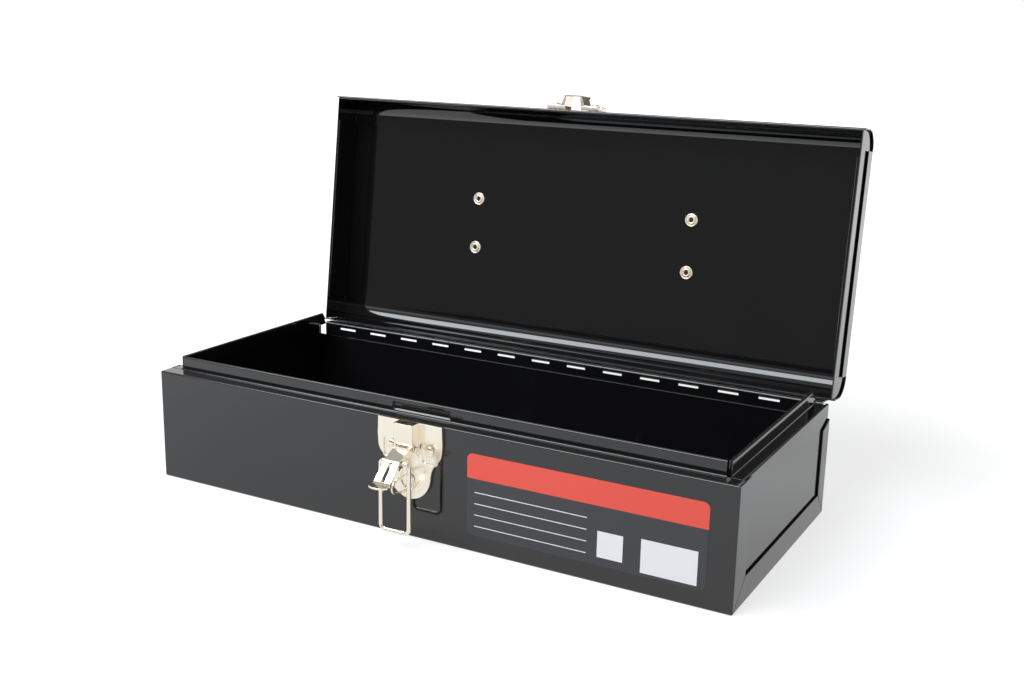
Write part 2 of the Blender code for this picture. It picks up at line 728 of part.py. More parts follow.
def lid_shell():
    """Front, top and rear in one sheet, with a flange over each end panel."""
    flat = HALF_WIDTH - LID_CORNER
    path = [
        (0, -HALF_WIDTH, LID_RIM), (0, -HALF_WIDTH, HEIGHT),
        (0, HALF_WIDTH, HEIGHT), (0, HALF_WIDTH, LID_RIM),
    ]
    bm = swept_sheet(path, (-HALF_LENGTH, 0, 0), (LENGTH, 0, 0))
    round_edges(bm, sharp_edges(bm), LID_CORNER, WIDE_ARC_STEPS)
    for way in (-1, 1):
        ends = [
            e for e in bm.edges
            if runs_along(e, 1) and e.verts[0].co.x * way > 0 and e.calc_length() > flat
        ]
        pull_edges(bm, ends, (0, 0, -LID_TOP_FLANGE))
    rims = [
        e for e in bm.edges
        if runs_along(e, 0) and e.verts[0].co.y < 0 and e.verts[0].co.z < LID_RIM + CLEARANCE
    ]
    turn = pull_edges(bm, rims, (0, HEM_DEPTH, 0))
    pull_edges(bm, turn, (0, 0, HEM_HEIGHT))
    face_outwards(bm, (0, 0, HEIGHT), (0, 0, 1))
    round_edges(bm, sharp_edges(bm), FOLD_RADIUS, 3)
    shell = thicken(object_from("lid_shell", bm, gloss_black("lid")), SHEET)
    rear_cut = block_cutter(
        "lid_rear_cut",
        (-HALF_LENGTH - OVERRUN, HALF_WIDTH - 2 * SHEET, LID_RIM - OVERRUN),
        (HALF_LENGTH + OVERRUN, HALF_WIDTH + OVERRUN, LID_RIM + LID_REAR_CUT),
    )
    hem_start = SHEET + CLEARANCE / 3 - HALF_WIDTH
    hem_cuts = [
        block_cutter(
            "lid_hem_cut_" + side,
            (way * (END_FACE - SHEET - CLEARANCE), hem_start, LID_RIM - OVERRUN),
            (way * (HALF_LENGTH + OVERRUN), hem_start + OVERRUN, LID_RIM + OVERRUN),
        )
        for side, way in (("left", -1), ("right", 1))
    ]
    holes = [
        rod_cutter(
            "lid_hole_" + tag, (x, y, HEIGHT), OVERRUN / 2, HANDLE_RIVET_SHANK + CLEARANCE, "Z",
        )
        for tag, x, y in handle_rivet_places()
    ]
    holes += [
        rod_cutter(
            "lid_keeper_hole_" + side,
            (LATCH_X + way * KEEPER_RIVET_SPREAD, -HALF_WIDTH, KEEPER_MIDDLE),
            OVERRUN / 2, RIVET_SHANK + CLEARANCE, "Y",
        )
        for side, way in (("left", -1), ("right", 1))
    ]
    return combine(shell, "DIFFERENCE", rear_cut, *hem_cuts, *holes, solver="MANIFOLD")


def lid_end(name, way):
    """An end panel of the lid, with a hemmed rim and generous top corners."""
    top = HEIGHT - SHEET - CLEARANCE
    path = [
        (way * END_FACE, 0, top),
        (way * END_FACE, 0, LID_RIM),
        (way * (END_FACE - HEM_DEPTH), 0, LID_RIM),
        (way * (END_FACE - HEM_DEPTH), 0, LID_RIM + HEM_HEIGHT),
    ]
    bm = swept_sheet(path, (0, -PANEL_SIDE, 0), (0, 2 * PANEL_SIDE, 0))
    face_outwards(bm, (way * END_FACE, 0, top), (way, 0, 0))
    round_edges(bm, sharp_edges(bm), FOLD_RADIUS, 3)
    panel = thicken(object_from(name, bm, gloss_black(name)), SHEET)
    bm = block_mesh(
        (way * (END_FACE + OVERRUN), -PANEL_SIDE, LID_RIM - OVERRUN),
        (way * (END_FACE - OVERRUN), PANEL_SIDE, top),
    )
    corners = [e for e in bm.edges if runs_along(e, 0) and e.verts[0].co.z > LID_RIM]
    round_edges(bm, corners, LID_END_CORNER, WIDE_ARC_STEPS)
    outline = object_from(name + "_outline", bm)
    combine(panel, "INTERSECT", outline, solver="MANIFOLD")
    hem_cuts = [
        block_cutter(
            name + "_hem_cut_" + end,
            (way * (END_FACE - OVERRUN), along * (PANEL_SIDE - LID_HEM_STOP), LID_RIM - OVERRUN),
            (way * (END_FACE - SHEET), along * (PANEL_SIDE + OVERRUN), LID_RIM + OVERRUN),
        )
        for end, along in (("front", -1), ("rear", 1))
    ]
    return combine(panel, "DIFFERENCE", *hem_cuts, solver="MANIFOLD")


# The latch


def latch_rivet_places(tag):
    """Name and place of each rivet that holds the latch, from the latch's middle."""
    return (
        (tag + "_left", -RIVET_SPREAD, RIVET_Z),
        (tag + "_right", RIVET_SPREAD, RIVET_Z),
        (tag + "_low", 0, LOW_RIVET_Z),
    )


def latch_plate(name, inset, back, front, material=None):
    """The shield outline of the base plate between two depths, drawn in by an inset."""
    half_width = LATCH_HALF_WIDTH - inset
    tall = LATCH_TALL - 2 * inset
    right = [(share * half_width, up * tall) for share, up in LATCH_OUTLINE_SHARES]
    left = [(-x, z) for x, z in reversed(right[1:])]
    points = right + left
    last = len(right) - 1
    rounded = [i for i in range(len(points)) if i not in (last, last + 1)]
    place = (
        Matrix.Translation((LATCH_X, (back + front) / 2, LATCH_FOOT + inset))
        @ Matrix.Rotation(math.pi / 2, 4, "X")
    )
    return outline_solid(name, points, (back - front) / 2, place, material, rounded)


def latch_base():
    """The pressed plate with its bridge, rivet pockets and low dimple."""
    plate = latch_plate("latch_base", 0, LATCH_BACK, LATCH_FRONT, bright_nickel("latch_base"))
    bm = bmesh.new()
    bm.from_mesh(plate.data)
    front_rim = [
        e for e in sharp_edges(bm)
        if all(v.co.y < LATCH_FRONT + CLEARANCE for v in e.verts)
    ]
    round_edges(bm, front_rim, LATCH_EDGE, 2)
    bm.to_mesh(plate.data)
    bm.free()
    hollow = latch_plate(
        "latch_hollow", LATCH_SHEET, LATCH_BACK + OVERRUN, LATCH_FRONT + LATCH_SHEET,
    )
    half = BRIDGE_WIDTH / 2
    bm = block_mesh(
        (LATCH_X - half, BRIDGE_FRONT, BRIDGE_TOP - BRIDGE_ROOT_DROP),
        (LATCH_X + half, LATCH_FRONT + LATCH_SHEET / 2, BRIDGE_TOP),
    )
    uprights = [
        e for e in bm.edges if runs_along(e, 2) and e.verts[0].co.y < BRIDGE_FRONT + CLEARANCE
    ]
    round_edges(bm, uprights, LATCH_SHEET, 3)
    bridge = object_from("bridge", bm)
    inner_half = half - LATCH_SHEET
    channel = block_cutter(
        "bridge_channel",
        (LATCH_X - inner_half, BRIDGE_FRONT + LATCH_SHEET, BRIDGE_TOP - BRIDGE_ROOT_DROP - OVERRUN),
        (LATCH_X + inner_half, LATCH_FRONT + LATCH_SHEET, BRIDGE_TOP + OVERRUN),
    )
    rise = BRIDGE_ROOT_DROP - BRIDGE_FRONT_DROP
    slant_reach = math.hypot(rise, BRIDGE_REACH) + OVERRUN
    bm = block_mesh(
        (LATCH_X - BRIDGE_WIDTH, -slant_reach, -OVERRUN),
        (LATCH_X + BRIDGE_WIDTH, OVERRUN, 0),
    )
    slope = Matrix.Rotation(-math.atan2(rise, BRIDGE_REACH), 4, "X")
    root = Matrix.Translation((0, LATCH_FRONT, BRIDGE_TOP - BRIDGE_ROOT_DROP))
    bmesh.ops.transform(bm, matrix=root @ slope, verts=bm.verts)
    slant = object_from("bridge_slant", bm)
    combine(bridge, "DIFFERENCE", channel, slant)

    backs = []
    pockets = []
    for name, x, z in latch_rivet_places("pocket"):
        if x:
            backs.append(rivet_pocket(name + "_back", x, LATCH_SHEET))
            pockets.append(rivet_pocket(name, x, 0))
        else:
            backs.append(low_dimple(name + "_back", z, LATCH_SHEET))
            pockets.append(low_dimple(name, z, 0))
    holes = [
        rod_cutter(
            name, (LATCH_X + x, LATCH_BACK, z), OVERRUN / 2, RIVET_SHANK + CLEARANCE, "Y",
        )
        for name, x, z in latch_rivet_places("plate_hole")
    ]
    pin_hole = rod_cutter(
        "bridge_pin_hole", (LATCH_X, LEVER_PIN_Y, LEVER_PIN_Z), BRIDGE_WIDTH,
        LEVER_PIN_RADIUS + CLEARANCE, "X", 16,
    )
    combine(plate, "DIFFERENCE", hollow, solver="MANIFOLD")
    combine(plate, "UNION", bridge, *backs, solver="MANIFOLD")
    combine(plate, "DIFFERENCE", *pockets, solver="MANIFOLD")
    combine(plate, "UNION", padlock_loop(), solver="MANIFOLD")
    combine(plate, "DIFFERENCE", *holes, pin_hole, solver="MANIFOLD")
    return smooth(plate)


def rivet_pocket(name, x, wall):
    """A pressed pocket round a wing rivet, or with a wall the metal behind it."""
    half_width = RIVET_POCKET_WIDTH / 2 + wall
    half_tall = RIVET_POCKET_TALL / 2 + wall
    middle = RIVET_Z - RIVET_POCKET_SHIFT
    floor = LATCH_FRONT + RIVET_POCKET_DEPTH
    back = floor + wall
    front = LATCH_FRONT + LATCH_SHEET / 2 if wall else LATCH_FRONT - OVERRUN
    bm = block_mesh(
        (LATCH_X + x - half_width, front, middle - half_tall),
        (LATCH_X + x + half_width, back, middle + half_tall),
    )
    round_edges(bm, [e for e in bm.edges if runs_along(e, 1)], RIVET_POCKET_WIDTH / 4, 3)
    return object_from(name, bm)


def low_dimple(name, z, wall):
    """The round dimple of the low rivet, or with a wall the metal behind it."""
    floor = LATCH_FRONT + RIVET_POCKET_DEPTH + wall
    front = LATCH_FRONT + LATCH_SHEET / 2 if wall else LATCH_FRONT - RIVET_POCKET_DEPTH
    centre = (LATCH_X, (floor + front) / 2, z)
    return rod_cutter(name, centre, abs(floor - front) / 2, LOW_DIMPLE_RADIUS + wall, "Y", 24)


def set_rivet(name, place, head, dome, shank, grip, material):
    """A solid rivet: the head stands up from place, the tail is set past the grip."""
    tail = (head + shank) / 2
    profile = [(out * head, up * dome) for out, up in DOME_SHARES]
    profile += [(shank, 0), (shank, -grip), (tail, -grip), (shank, -grip - dome / 2)]
    profile.append((0, -grip - dome / 2))
    return turned(name, profile, place, material)


def latch_rivets():
    """Two wing rivets and the low rivet."""
    seat = LATCH_FRONT + RIVET_POCKET_DEPTH - CLEARANCE
    grip = SHEET - HALF_WIDTH + CLEARANCE - seat
    for name, x, z in latch_rivet_places("latch_rivet"):
        place = facing(LATCH_X + x, seat, z, math.pi / 2, "X")
        set_rivet(name, place, RIVET_HEAD, RIVET_DOME, RIVET_SHANK, grip, bright_nickel(name))


def side_place(y, z):
    """Stand an outline in the latch's middle plane: its x runs forward, its y up."""
    turn = Matrix(((0, 0, -1), (-1, 0, 0), (0, 1, 0))).to_4x4()
    return Matrix.Translation((LATCH_X, y, z)) @ turn


def padlock_loop():
    """The loop that stands out through the lever's slot, its legs either side of the low rivet."""
    root = -RIVET_POCKET_DEPTH - LATCH_SHEET / 2
    edges = []
    for inset in (0, LOOP_BAR):
        reach = LOOP_REACH - inset
        half = LOOP_TALL / 2 - inset
        upper = [(along * reach, up * half) for along, up in LOOP_SHARES]
        upper[0] = (root, half)
        edges.append(upper + [(x, -z) for x, z in reversed(upper[:-1])])
    outer, inner = edges
    points = outer + inner[::-1]
    ends = (0, len(outer) - 1, len(outer), len(points) - 1)
    rounded = [number for number in range(len(points)) if number not in ends]
    place = side_place(LATCH_FRONT, LOW_RIVET_Z - LOOP_DROP)
    return outline_solid("padlock_loop", points, LOOP_SHEET / 2, place, None, rounded)


def lever_profile():
    """Corner points of the lever's upper face in Y and Z, from root to tip."""
    root = Vector((0, LEVER_PIN_Y + LEVER_ROOT_BACK, LEVER_PIN_Z + LEVER_ROOT_RISE))
    shoulder = root + Vector((0, -LEVER_SHOULDER_RUN, -LEVER_SHOULDER_FALL))
    crease = shoulder + Vector((0, -LEVER_CREASE_RUN, -LEVER_CREASE_FALL))
    lean = Vector((0, -math.cos(LEVER_FACE_ANGLE), -math.sin(LEVER_FACE_ANGLE)))
    foot = crease + lean * LEVER_FACE_LENGTH
    tab = foot + Vector((0, -TAB_HALF_DEPTH, 0))
    return root, shoulder, crease, foot, tab


def latch_lever():
    """A bent sheet lever with two cheeks, a padlock slot and an oval finger tab."""
    root, shoulder, crease, foot, tab = profile = lever_profile()
    half = LEVER_WIDTH / 2
    bm = swept_sheet(profile, (LATCH_X - half, 0, 0), (LEVER_WIDTH, 0, 0))
    for vert in bm.verts:
        if vert.co.z < (crease.z + foot.z) / 2:
            vert.co.x += math.copysign(LEVER_FLARE, vert.co.x - LATCH_X)
    face_outwards(bm, shoulder, (0, 0, 1))
    bends = sharp_edges(bm, math.radians(8))
    round_edges(bm, bends, LEVER_BEND, 3)
    lever = thicken(object_from("latch_lever", bm, bright_nickel("latch_lever")), LATCH_SHEET)

    inside = Vector((0, 0, -LATCH_SHEET / 2))
    pin = Vector((0, LEVER_PIN_Y, LEVER_PIN_Z))
    eye = Vector((0, BAIL_Y, BAIL_Z))
    corners = (
        root + inside, shoulder + inside, crease + inside + inside,
        crease + Vector((0, 0, -2 * CHEEK_REACH)),
        eye + Vector((0, -CHEEK_REACH / 2, -CHEEK_REACH)),
        eye + Vector((0, CHEEK_REACH / 2, -CHEEK_REACH)),
        pin + Vector((0, -CHEEK_EYE / 2, -CHEEK_EYE)),
        pin + Vector((0, CHEEK_EYE / 2, -CHEEK_EYE)),
        pin + Vector((0, CHEEK_EYE, 0)),
    )
    outline = [(-corner.y, corner.z) for corner in corners]
    cheeks = []
    for side, way in (("left", -1), ("right", 1)):
        place = side_place(0, 0)
        place.translation.x += way * (half - LATCH_SHEET / 2)
        rounded = range(3, len(outline))
        cheeks.append(
            outline_solid("cheek_" + side, outline, LATCH_SHEET / 2, place, None, rounded)
        )
    disc = rod_mesh((0, 0, 0), TAB_SHEET / 2, 1.0, "Z", 24)
    bmesh.ops.scale(disc, vec=(TAB_HALF_WIDTH, TAB_HALF_DEPTH, 1), verts=disc.verts)
    middle = (foot + tab) / 2 + inside
    bmesh.ops.translate(disc, vec=(LATCH_X, middle.y, middle.z), verts=disc.verts)
    combine(lever, "UNION", *cheeks, object_from("lever_tab", disc), solver="MANIFOLD")

    slot = block_mesh(
        (-LEVER_SLOT_WIDTH / 2, -LEVER_SLOT_LENGTH / 2, -OVERRUN / 2),
        (LEVER_SLOT_WIDTH / 2, LEVER_SLOT_LENGTH / 2, OVERRUN / 2),
    )
    middle = (crease + foot) / 2
    lean = Matrix.Rotation(LEVER_FACE_ANGLE, 4, "X")
    place = Matrix.Translation((LATCH_X, middle.y, middle.z)) @ lean
    bmesh.ops.transform(slot, matrix=place, verts=slot.verts)
    pin_hole = rod_cutter(
        "lever_pin_hole", (LATCH_X, LEVER_PIN_Y, LEVER_PIN_Z), LEVER_WIDTH,
        LEVER_PIN_RADIUS + CLEARANCE, "X", 16,
    )
    bail_hole = rod_cutter(
        "lever_bail_hole", (LATCH_X, BAIL_Y, BAIL_Z), LEVER_WIDTH, BAIL_WIRE + CLEARANCE, "X", 16,
    )
    combine(lever, "DIFFERENCE", object_from("lever_slot", slot), pin_hole, bail_hole)
    return smooth(lever)


def lever_pin():
    """The pin through the bridge that the lever turns on, headed at both ends."""
    seat = BRIDGE_WIDTH / 2 + CLEARANCE
    end = seat + LEVER_PIN_HEAD_TALL
    upper = [
        (0, end), (LEVER_PIN_CROWN, end), (LEVER_PIN_HEAD, (seat + end) / 2),
        (LEVER_PIN_HEAD, seat), (LEVER_PIN_RADIUS, seat),
    ]
    profile = upper + [(radius, -height) for radius, height in reversed(upper)]
    place = facing(LATCH_X, LEVER_PIN_Y, LEVER_PIN_Z, math.pi / 2, "Y")
    return turned("lever_pin", profile, place, bright_nickel("lever_pin"))


def latch_bail():
    """The wire loop that hooks over the keeper, with its ends sprung into the cheeks."""
    end = LEVER_WIDTH / 2 - LATCH_SHEET - BAIL_END_INSET
    points = [
        (-end, 0, 0), (-BAIL_HALF, 0, 0), (-BAIL_HALF, 0, -BAIL_LENGTH),
        (BAIL_HALF, 0, -BAIL_LENGTH), (BAIL_HALF, 0, 0), (end, 0, 0),
    ]
    radii = (BAIL_EYE_CORNER, BAIL_CORNER, BAIL_CORNER, BAIL_EYE_CORNER)
    bail = wire("latch_bail", points, BAIL_WIRE, radii, bright_nickel("latch_bail"))
    bail.location = (LATCH_X, BAIL_Y, BAIL_Z)
    return bail


# The keeper


def hump_block(name, inset, front, back, foot, top):
    """A block whose sides spread towards the lid, drawn in by an inset."""
    half = HUMP_WIDTH / 2 - inset
    bm = block_mesh((LATCH_X - half, front, foot), (LATCH_X + half, back, top))
    for vert in bm.verts:
        if vert.co.y > (front + back) / 2:
            vert.co.x += math.copysign(HUMP_SPREAD, vert.co.x - LATCH_X)
    if not inset:
        rims = [
            e for e in bm.edges
            if runs_along(e, 2) and all(v.co.y < front + CLEARANCE for v in e.verts)
        ]
        round_edges(bm, rims, LATCH_SHEET, 3)
    return object_from(name, bm)


def keeper():
    """The pressed plate on the lid whose raised hump catches the bail."""
    half = KEEPER_WIDTH / 2
    foot, top = KEEPER_FOOT, KEEPER_FOOT + KEEPER_TALL
    bm = block_mesh((LATCH_X - half, KEEPER_FRONT, foot), (LATCH_X + half, LATCH_BACK, top))
    round_edges(bm, [e for e in bm.edges if runs_along(e, 1)], KEEPER_CORNER, 4)
    rim = [e for e in sharp_edges(bm) if all(v.co.y < KEEPER_FRONT + CLEARANCE for v in e.verts)]
    round_edges(bm, rim, LATCH_EDGE, 2)
    plate = object_from("keeper", bm, bright_nickel("keeper"))

    hollow = block_cutter(
        "keeper_hollow",
        (LATCH_X - half + LATCH_SHEET, KEEPER_FRONT + LATCH_SHEET, foot + LATCH_SHEET),
        (LATCH_X + half - LATCH_SHEET, LATCH_BACK + OVERRUN, top - LATCH_SHEET),
        1, KEEPER_CORNER - LATCH_SHEET, 4,
    )
    hump = hump_block("hump", 0, HUMP_FRONT, KEEPER_FRONT + LATCH_SHEET / 2, foot, HUMP_TOP)
    channel = hump_block(
        "hump_channel", LATCH_SHEET, HUMP_LIP_FACE, LATCH_BACK + OVERRUN,
        foot - OVERRUN, HUMP_TOP + OVERRUN,
    )
    seat = block_cutter(
        "hump_seat",
        (LATCH_X - half, HUMP_LIP_FACE, HUMP_SEAT),
        (LATCH_X + half, KEEPER_FRONT, HUMP_TOP + OVERRUN),
    )
    holes = [
        rod_cutter(
            "keeper_hole_" + side,
            (LATCH_X + way * KEEPER_RIVET_SPREAD, KEEPER_FRONT, KEEPER_MIDDLE),
            OVERRUN / 2, RIVET_SHANK + CLEARANCE, "Y",
        )
        for side, way in (("left", -1), ("right", 1))
    ]
    combine(plate, "DIFFERENCE", hollow)
    combine(plate, "UNION", hump)
    return combine(plate, "DIFFERENCE", channel, seat, *holes)


def keeper_rivets():
    """Two rivets through the keeper and the lid's front."""
    seat = KEEPER_FRONT - CLEARANCE
    grip = SHEET - HALF_WIDTH + CLEARANCE - seat
    made = []
    for side, way in (("left", -1), ("right", 1)):
        name = "keeper_rivet_" + side
        place = facing(
            LATCH_X + way * KEEPER_RIVET_SPREAD, seat, KEEPER_MIDDLE, math.pi / 2, "X",
        )
        made.append(
            set_rivet(
                name, place, RIVET_HEAD, RIVET_DOME, RIVET_SHANK, grip, bright_nickel(name),
            )
        )
    return made


# The handle


def handle_rivet_places():
    """Tag and place of each rivet that holds the handle's saddles."""
    return [
        (side + "_" + end, way * HANDLE_SPREAD, along * HANDLE_RIVET_SPREAD)
        for side, way in (("left", -1), ("right", 1))
        for end, along in (("front", -1), ("rear", 1))
    ]


def handle_saddle(name, way):
    """A strap over one end of the handle's wire, with a rivet at each foot."""
    arch = HANDLE_WIRE + CLEARANCE + SADDLE_SHEET
    foot = SADDLE_SEAT + SADDLE_SHEET
    crown = HANDLE_Z + arch
    path = [
        (0, -SADDLE_FOOT, foot), (0, -arch, foot), (0, -arch, crown),
        (0, arch, crown), (0, arch, foot), (0, SADDLE_FOOT, foot),
    ]
    start = way * HANDLE_SPREAD - SADDLE_WIDTH / 2
    bm = swept_sheet(path, (start, 0, 0), (SADDLE_WIDTH, 0, 0))
    face_outwards(bm, (start, 0, crown), (0, 0, 1))
    tops = [e for e in sharp_edges(bm) if e.verts[0].co.z > HANDLE_Z]
    round_edges(bm, tops, arch - CLEARANCE, 5)
    roots = [e for e in sharp_edges(bm) if e.verts[0].co.z < HANDLE_Z]
    round_edges(bm, roots, SADDLE_BEND, 3)
    corners = [v for v in bm.verts if abs(v.co.y) > SADDLE_FOOT - CLEARANCE]
    bmesh.ops.bevel(
        bm, geom=corners, offset=SADDLE_CORNER, offset_type="OFFSET", segments=3,
        profile=0.5, affect="VERTICES", clamp_overlap=True, material=-1,
    )
    saddle = thicken(object_from(name, bm, bright_nickel(name)), SADDLE_SHEET)
    holes = [
        rod_cutter(
            name + "_hole_" + tag, (x, y, foot), OVERRUN / 2, HANDLE_RIVET_SHANK + CLEARANCE, "Z",
        )
        for tag, x, y in handle_rivet_places() if x * way > 0
    ]
    return smooth(combine(saddle, "DIFFERENCE", *holes))


def handle_rivets():
    """Four tubular rivets, domed outside and rolled over inside the lid."""
    seat = SADDLE_SEAT + SADDLE_SHEET + CLEARANCE
    lid_inside = HEIGHT - SHEET - CLEARANCE
    grip = seat - lid_inside
    ring = grip + HANDLE_RIVET_RING
    shank, bore, head = HANDLE_RIVET_SHANK, HANDLE_RIVET_BORE, HANDLE_RIVET_HEAD
    profile = [(out * head, up * HANDLE_RIVET_DOME) for out, up in DOME_SHARES]
    profile += [
        (shank, 0), (shank, -grip), (head, -grip), (head, -grip - HANDLE_RIVET_RING / 2),
        ((head + shank) / 2, -ring), ((shank + bore) / 2, -ring), (bore, -grip), (bore, -grip / 2),
        (0, -grip / 2),
    ]
    made = []
    for tag, x, y in handle_rivet_places():
        name = "handle_rivet_" + tag
        place = Matrix.Translation((x, y, seat))
        made.append(turned(name, profile, place, bright_nickel(name)))
    return made


def handle_wire():
    """The bent wire between the two saddles, laid back flat on the closed lid."""
    end = HANDLE_SPREAD + SADDLE_WIDTH / 2 + HANDLE_END_PAST
    span = HANDLE_HALF_SPAN
    points = [
        (-end, 0, 0), (-span, 0, 0), (-span, HANDLE_DROP, 0),
        (span, HANDLE_DROP, 0), (span, 0, 0), (end, 0, 0),
    ]
    radii = (HANDLE_EYE_CORNER, HANDLE_CORNER, HANDLE_CORNER, HANDLE_EYE_CORNER)
    made = wire("handle_wire", points, HANDLE_WIRE, radii, bright_nickel("handle_wire"), sides=3)
    made.location = (0, 0, HANDLE_Z)
    return made


def handle_grip():
    """A rolled sleeve round the handle's straight run, beaded at both ends."""
    half = GRIP_LENGTH / 2
    neck = GRIP_RADIUS - GRIP_BEAD
    bore = HANDLE_WIRE + CLEARANCE
    shoulder = half - GRIP_BEAD_LENGTH
    upper = [
        (bore, half), (neck, half), (GRIP_RADIUS, half - GRIP_BEAD), (GRIP_RADIUS, shoulder),
        (neck, shoulder - GRIP_BEAD), (neck, shoulder - GRIP_BEAD_LENGTH),
        (GRIP_RADIUS, half / 2),
    ]
    profile = upper + [(radius, -height) for radius, height in reversed(upper)]
    place = facing(0, HANDLE_DROP, HANDLE_Z, math.pi / 2, "Y")
    return turned("handle_grip", profile, place, bright_nickel("handle_grip"), 20)


def main():
    body_shell()
    body_end("body_end_left", -1)
    body_end("body_end_right", 1)
    hinge_leaf("hinge_leaf_body", -1, 0)
    hinge_pin()
    latch_base()
    latch_rivets()
    lever_pin()

    lever_axis = pivot("lever_axis", LATCH_X, LEVER_PIN_Y, LEVER_PIN_Z)
    bail_axis = pivot("bail_axis", LATCH_X, BAIL_Y, BAIL_Z)
    hang(lever_axis, latch_lever(), bail_axis)
    hang(bail_axis, latch_bail())

    lid_axis = pivot("lid_axis", 0, HINGE_Y, HINGE_Z)
    hang(lid_axis, lid_shell(), hinge_leaf("hinge_leaf_lid", 1, 1), keeper(), *keeper_rivets())
    for side, way in (("left", -1), ("right", 1)):
        hang(lid_axis, lid_end("lid_end_" + side, way), handle_saddle("handle_saddle_" + side, way))
    hang(lid_axis, *handle_rivets())
    handle_axis = pivot("handle_axis", 0, 0, HANDLE_Z)
    hang(lid_axis, handle_axis)
    hang(handle_axis, handle_wire(), handle_grip())
    lid_axis.rotation_euler.x = -LID_OPEN_ANGLE
    handle_axis.rotation_euler.x = HANDLE_HANG


if __name__ == "__main__":
    main()
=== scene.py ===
"""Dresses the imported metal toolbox: fine pieces, finishes, a label, studio and camera."""

import json
import math

import bmesh
import bpy
from bpy.props import FloatProperty, FloatVectorProperty, PointerProperty
from mathutils import Matrix, Vector


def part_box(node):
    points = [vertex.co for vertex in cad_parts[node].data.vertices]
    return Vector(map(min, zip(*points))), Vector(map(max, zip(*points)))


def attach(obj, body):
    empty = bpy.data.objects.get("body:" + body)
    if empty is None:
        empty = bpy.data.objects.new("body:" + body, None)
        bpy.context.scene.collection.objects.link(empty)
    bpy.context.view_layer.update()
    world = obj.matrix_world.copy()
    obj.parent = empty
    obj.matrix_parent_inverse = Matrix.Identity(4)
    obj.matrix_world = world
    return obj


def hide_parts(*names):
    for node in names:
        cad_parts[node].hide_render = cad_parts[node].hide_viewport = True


bl_info = {
    "name": "Metal toolbox dressing",
    "version": (1, 0, 0),
    "blender": (4, 5, 0),
    "location": "3D View > Sidebar > Toolbox",
    "description": "Dresses a folded-steel toolbox with enamel, nickel plate and a label",
    "category": "Object",
}

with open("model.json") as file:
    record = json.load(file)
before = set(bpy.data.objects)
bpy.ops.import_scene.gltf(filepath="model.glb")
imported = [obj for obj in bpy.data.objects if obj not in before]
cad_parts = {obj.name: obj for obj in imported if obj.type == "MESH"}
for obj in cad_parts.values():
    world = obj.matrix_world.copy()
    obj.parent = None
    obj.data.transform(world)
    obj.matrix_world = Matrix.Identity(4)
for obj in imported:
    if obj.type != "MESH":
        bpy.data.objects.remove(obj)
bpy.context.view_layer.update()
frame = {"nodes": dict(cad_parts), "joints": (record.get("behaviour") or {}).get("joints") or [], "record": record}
NODES = frame["nodes"]
JOINTS = {joint["name"]: joint for joint in frame["joints"]}
BODY_OF = {
    node: body
    for body, nodes in frame["record"]["behaviour"]["bodies"].items()
    for node in nodes
}

MM = 0.001
WELD = 0.002 * MM  # vertices of a mesh that are nearer than this are one
QUARTER = math.radians(90)
ALONG_X = Matrix.Rotation(QUARTER, 4, "Y")  # lays what was turned round Z along X
FACE_FRONT = Matrix.Rotation(QUARTER, 4, "X")  # faces the top of what was turned to the front
FRONT_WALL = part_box("body_shell")[0].y
OPEN_ANGLE = math.radians(JOINTS["lid_hinge"]["range_deg"][1])
LATCH_X = JOINTS["latch_bail"]["pos_m"][0]


# Properties


class ToolboxSizes(bpy.types.PropertyGroup):
    edge_round: FloatProperty(
        name="Edge rounding", description="Radius on the cut edges of painted sheet",
        default=0.16 * MM, min=0.0, unit="LENGTH",
    )
    plate_round: FloatProperty(
        name="Plate rounding", description="Radius on the edges of pressed plates",
        default=0.14 * MM, min=0.0, unit="LENGTH",
    )
    label_low: FloatVectorProperty(
        name="Label low corner", description="Left and lower edge of the label, in X and Z",
        default=(32.3 * MM, 9.4 * MM), size=2, unit="LENGTH",
    )
    label_high: FloatVectorProperty(
        name="Label high corner", description="Right and upper edge of the label, in X and Z",
        default=(163.9 * MM, 54.0 * MM), size=2, unit="LENGTH",
    )
    label_corner: FloatProperty(
        name="Label corner", description="Corner radius of the label",
        default=3.2 * MM, min=0.0, unit="LENGTH",
    )
    label_film: FloatProperty(
        name="Label film", description="Thickness of the label's film",
        default=0.12 * MM, min=0.0, unit="LENGTH",
    )
    band_foot: FloatProperty(
        name="Band foot", description="Height of the red band's lower edge",
        default=40.6 * MM, unit="LENGTH",
    )


class ToolboxFinishes(bpy.types.PropertyGroup):
    enamel: FloatVectorProperty(
        name="Enamel", description="Black gloss enamel of the box",
        default=(0.0042, 0.0042, 0.0046), size=3, subtype="COLOR", min=0.0, max=1.0,
    )
    nickel: FloatVectorProperty(
        name="Nickel", description="Warm bright nickel plate",
        default=(0.95, 0.875, 0.745), size=3, subtype="COLOR", min=0.0, max=1.0,
    )
    rivet_bore: FloatVectorProperty(
        name="Rivet bore", description="Unplated inside of a tubular rivet",
        default=(0.30, 0.19, 0.10), size=3, subtype="COLOR", min=0.0, max=1.0,
    )
    label_red: FloatVectorProperty(
        name="Label red", description="Upper band of the label",
        default=(0.88, 0.105, 0.075), size=3, subtype="COLOR", min=0.0, max=1.0,
    )
    label_dark: FloatVectorProperty(
        name="Label dark", description="Lower field of the label",
        default=(0.05, 0.05, 0.056), size=3, subtype="COLOR", min=0.0, max=1.0,
    )
    label_pale: FloatVectorProperty(
        name="Label pale", description="Blank panel and write-in lines of the label",
        default=(0.92, 0.92, 0.93), size=3, subtype="COLOR", min=0.0, max=1.0,
    )


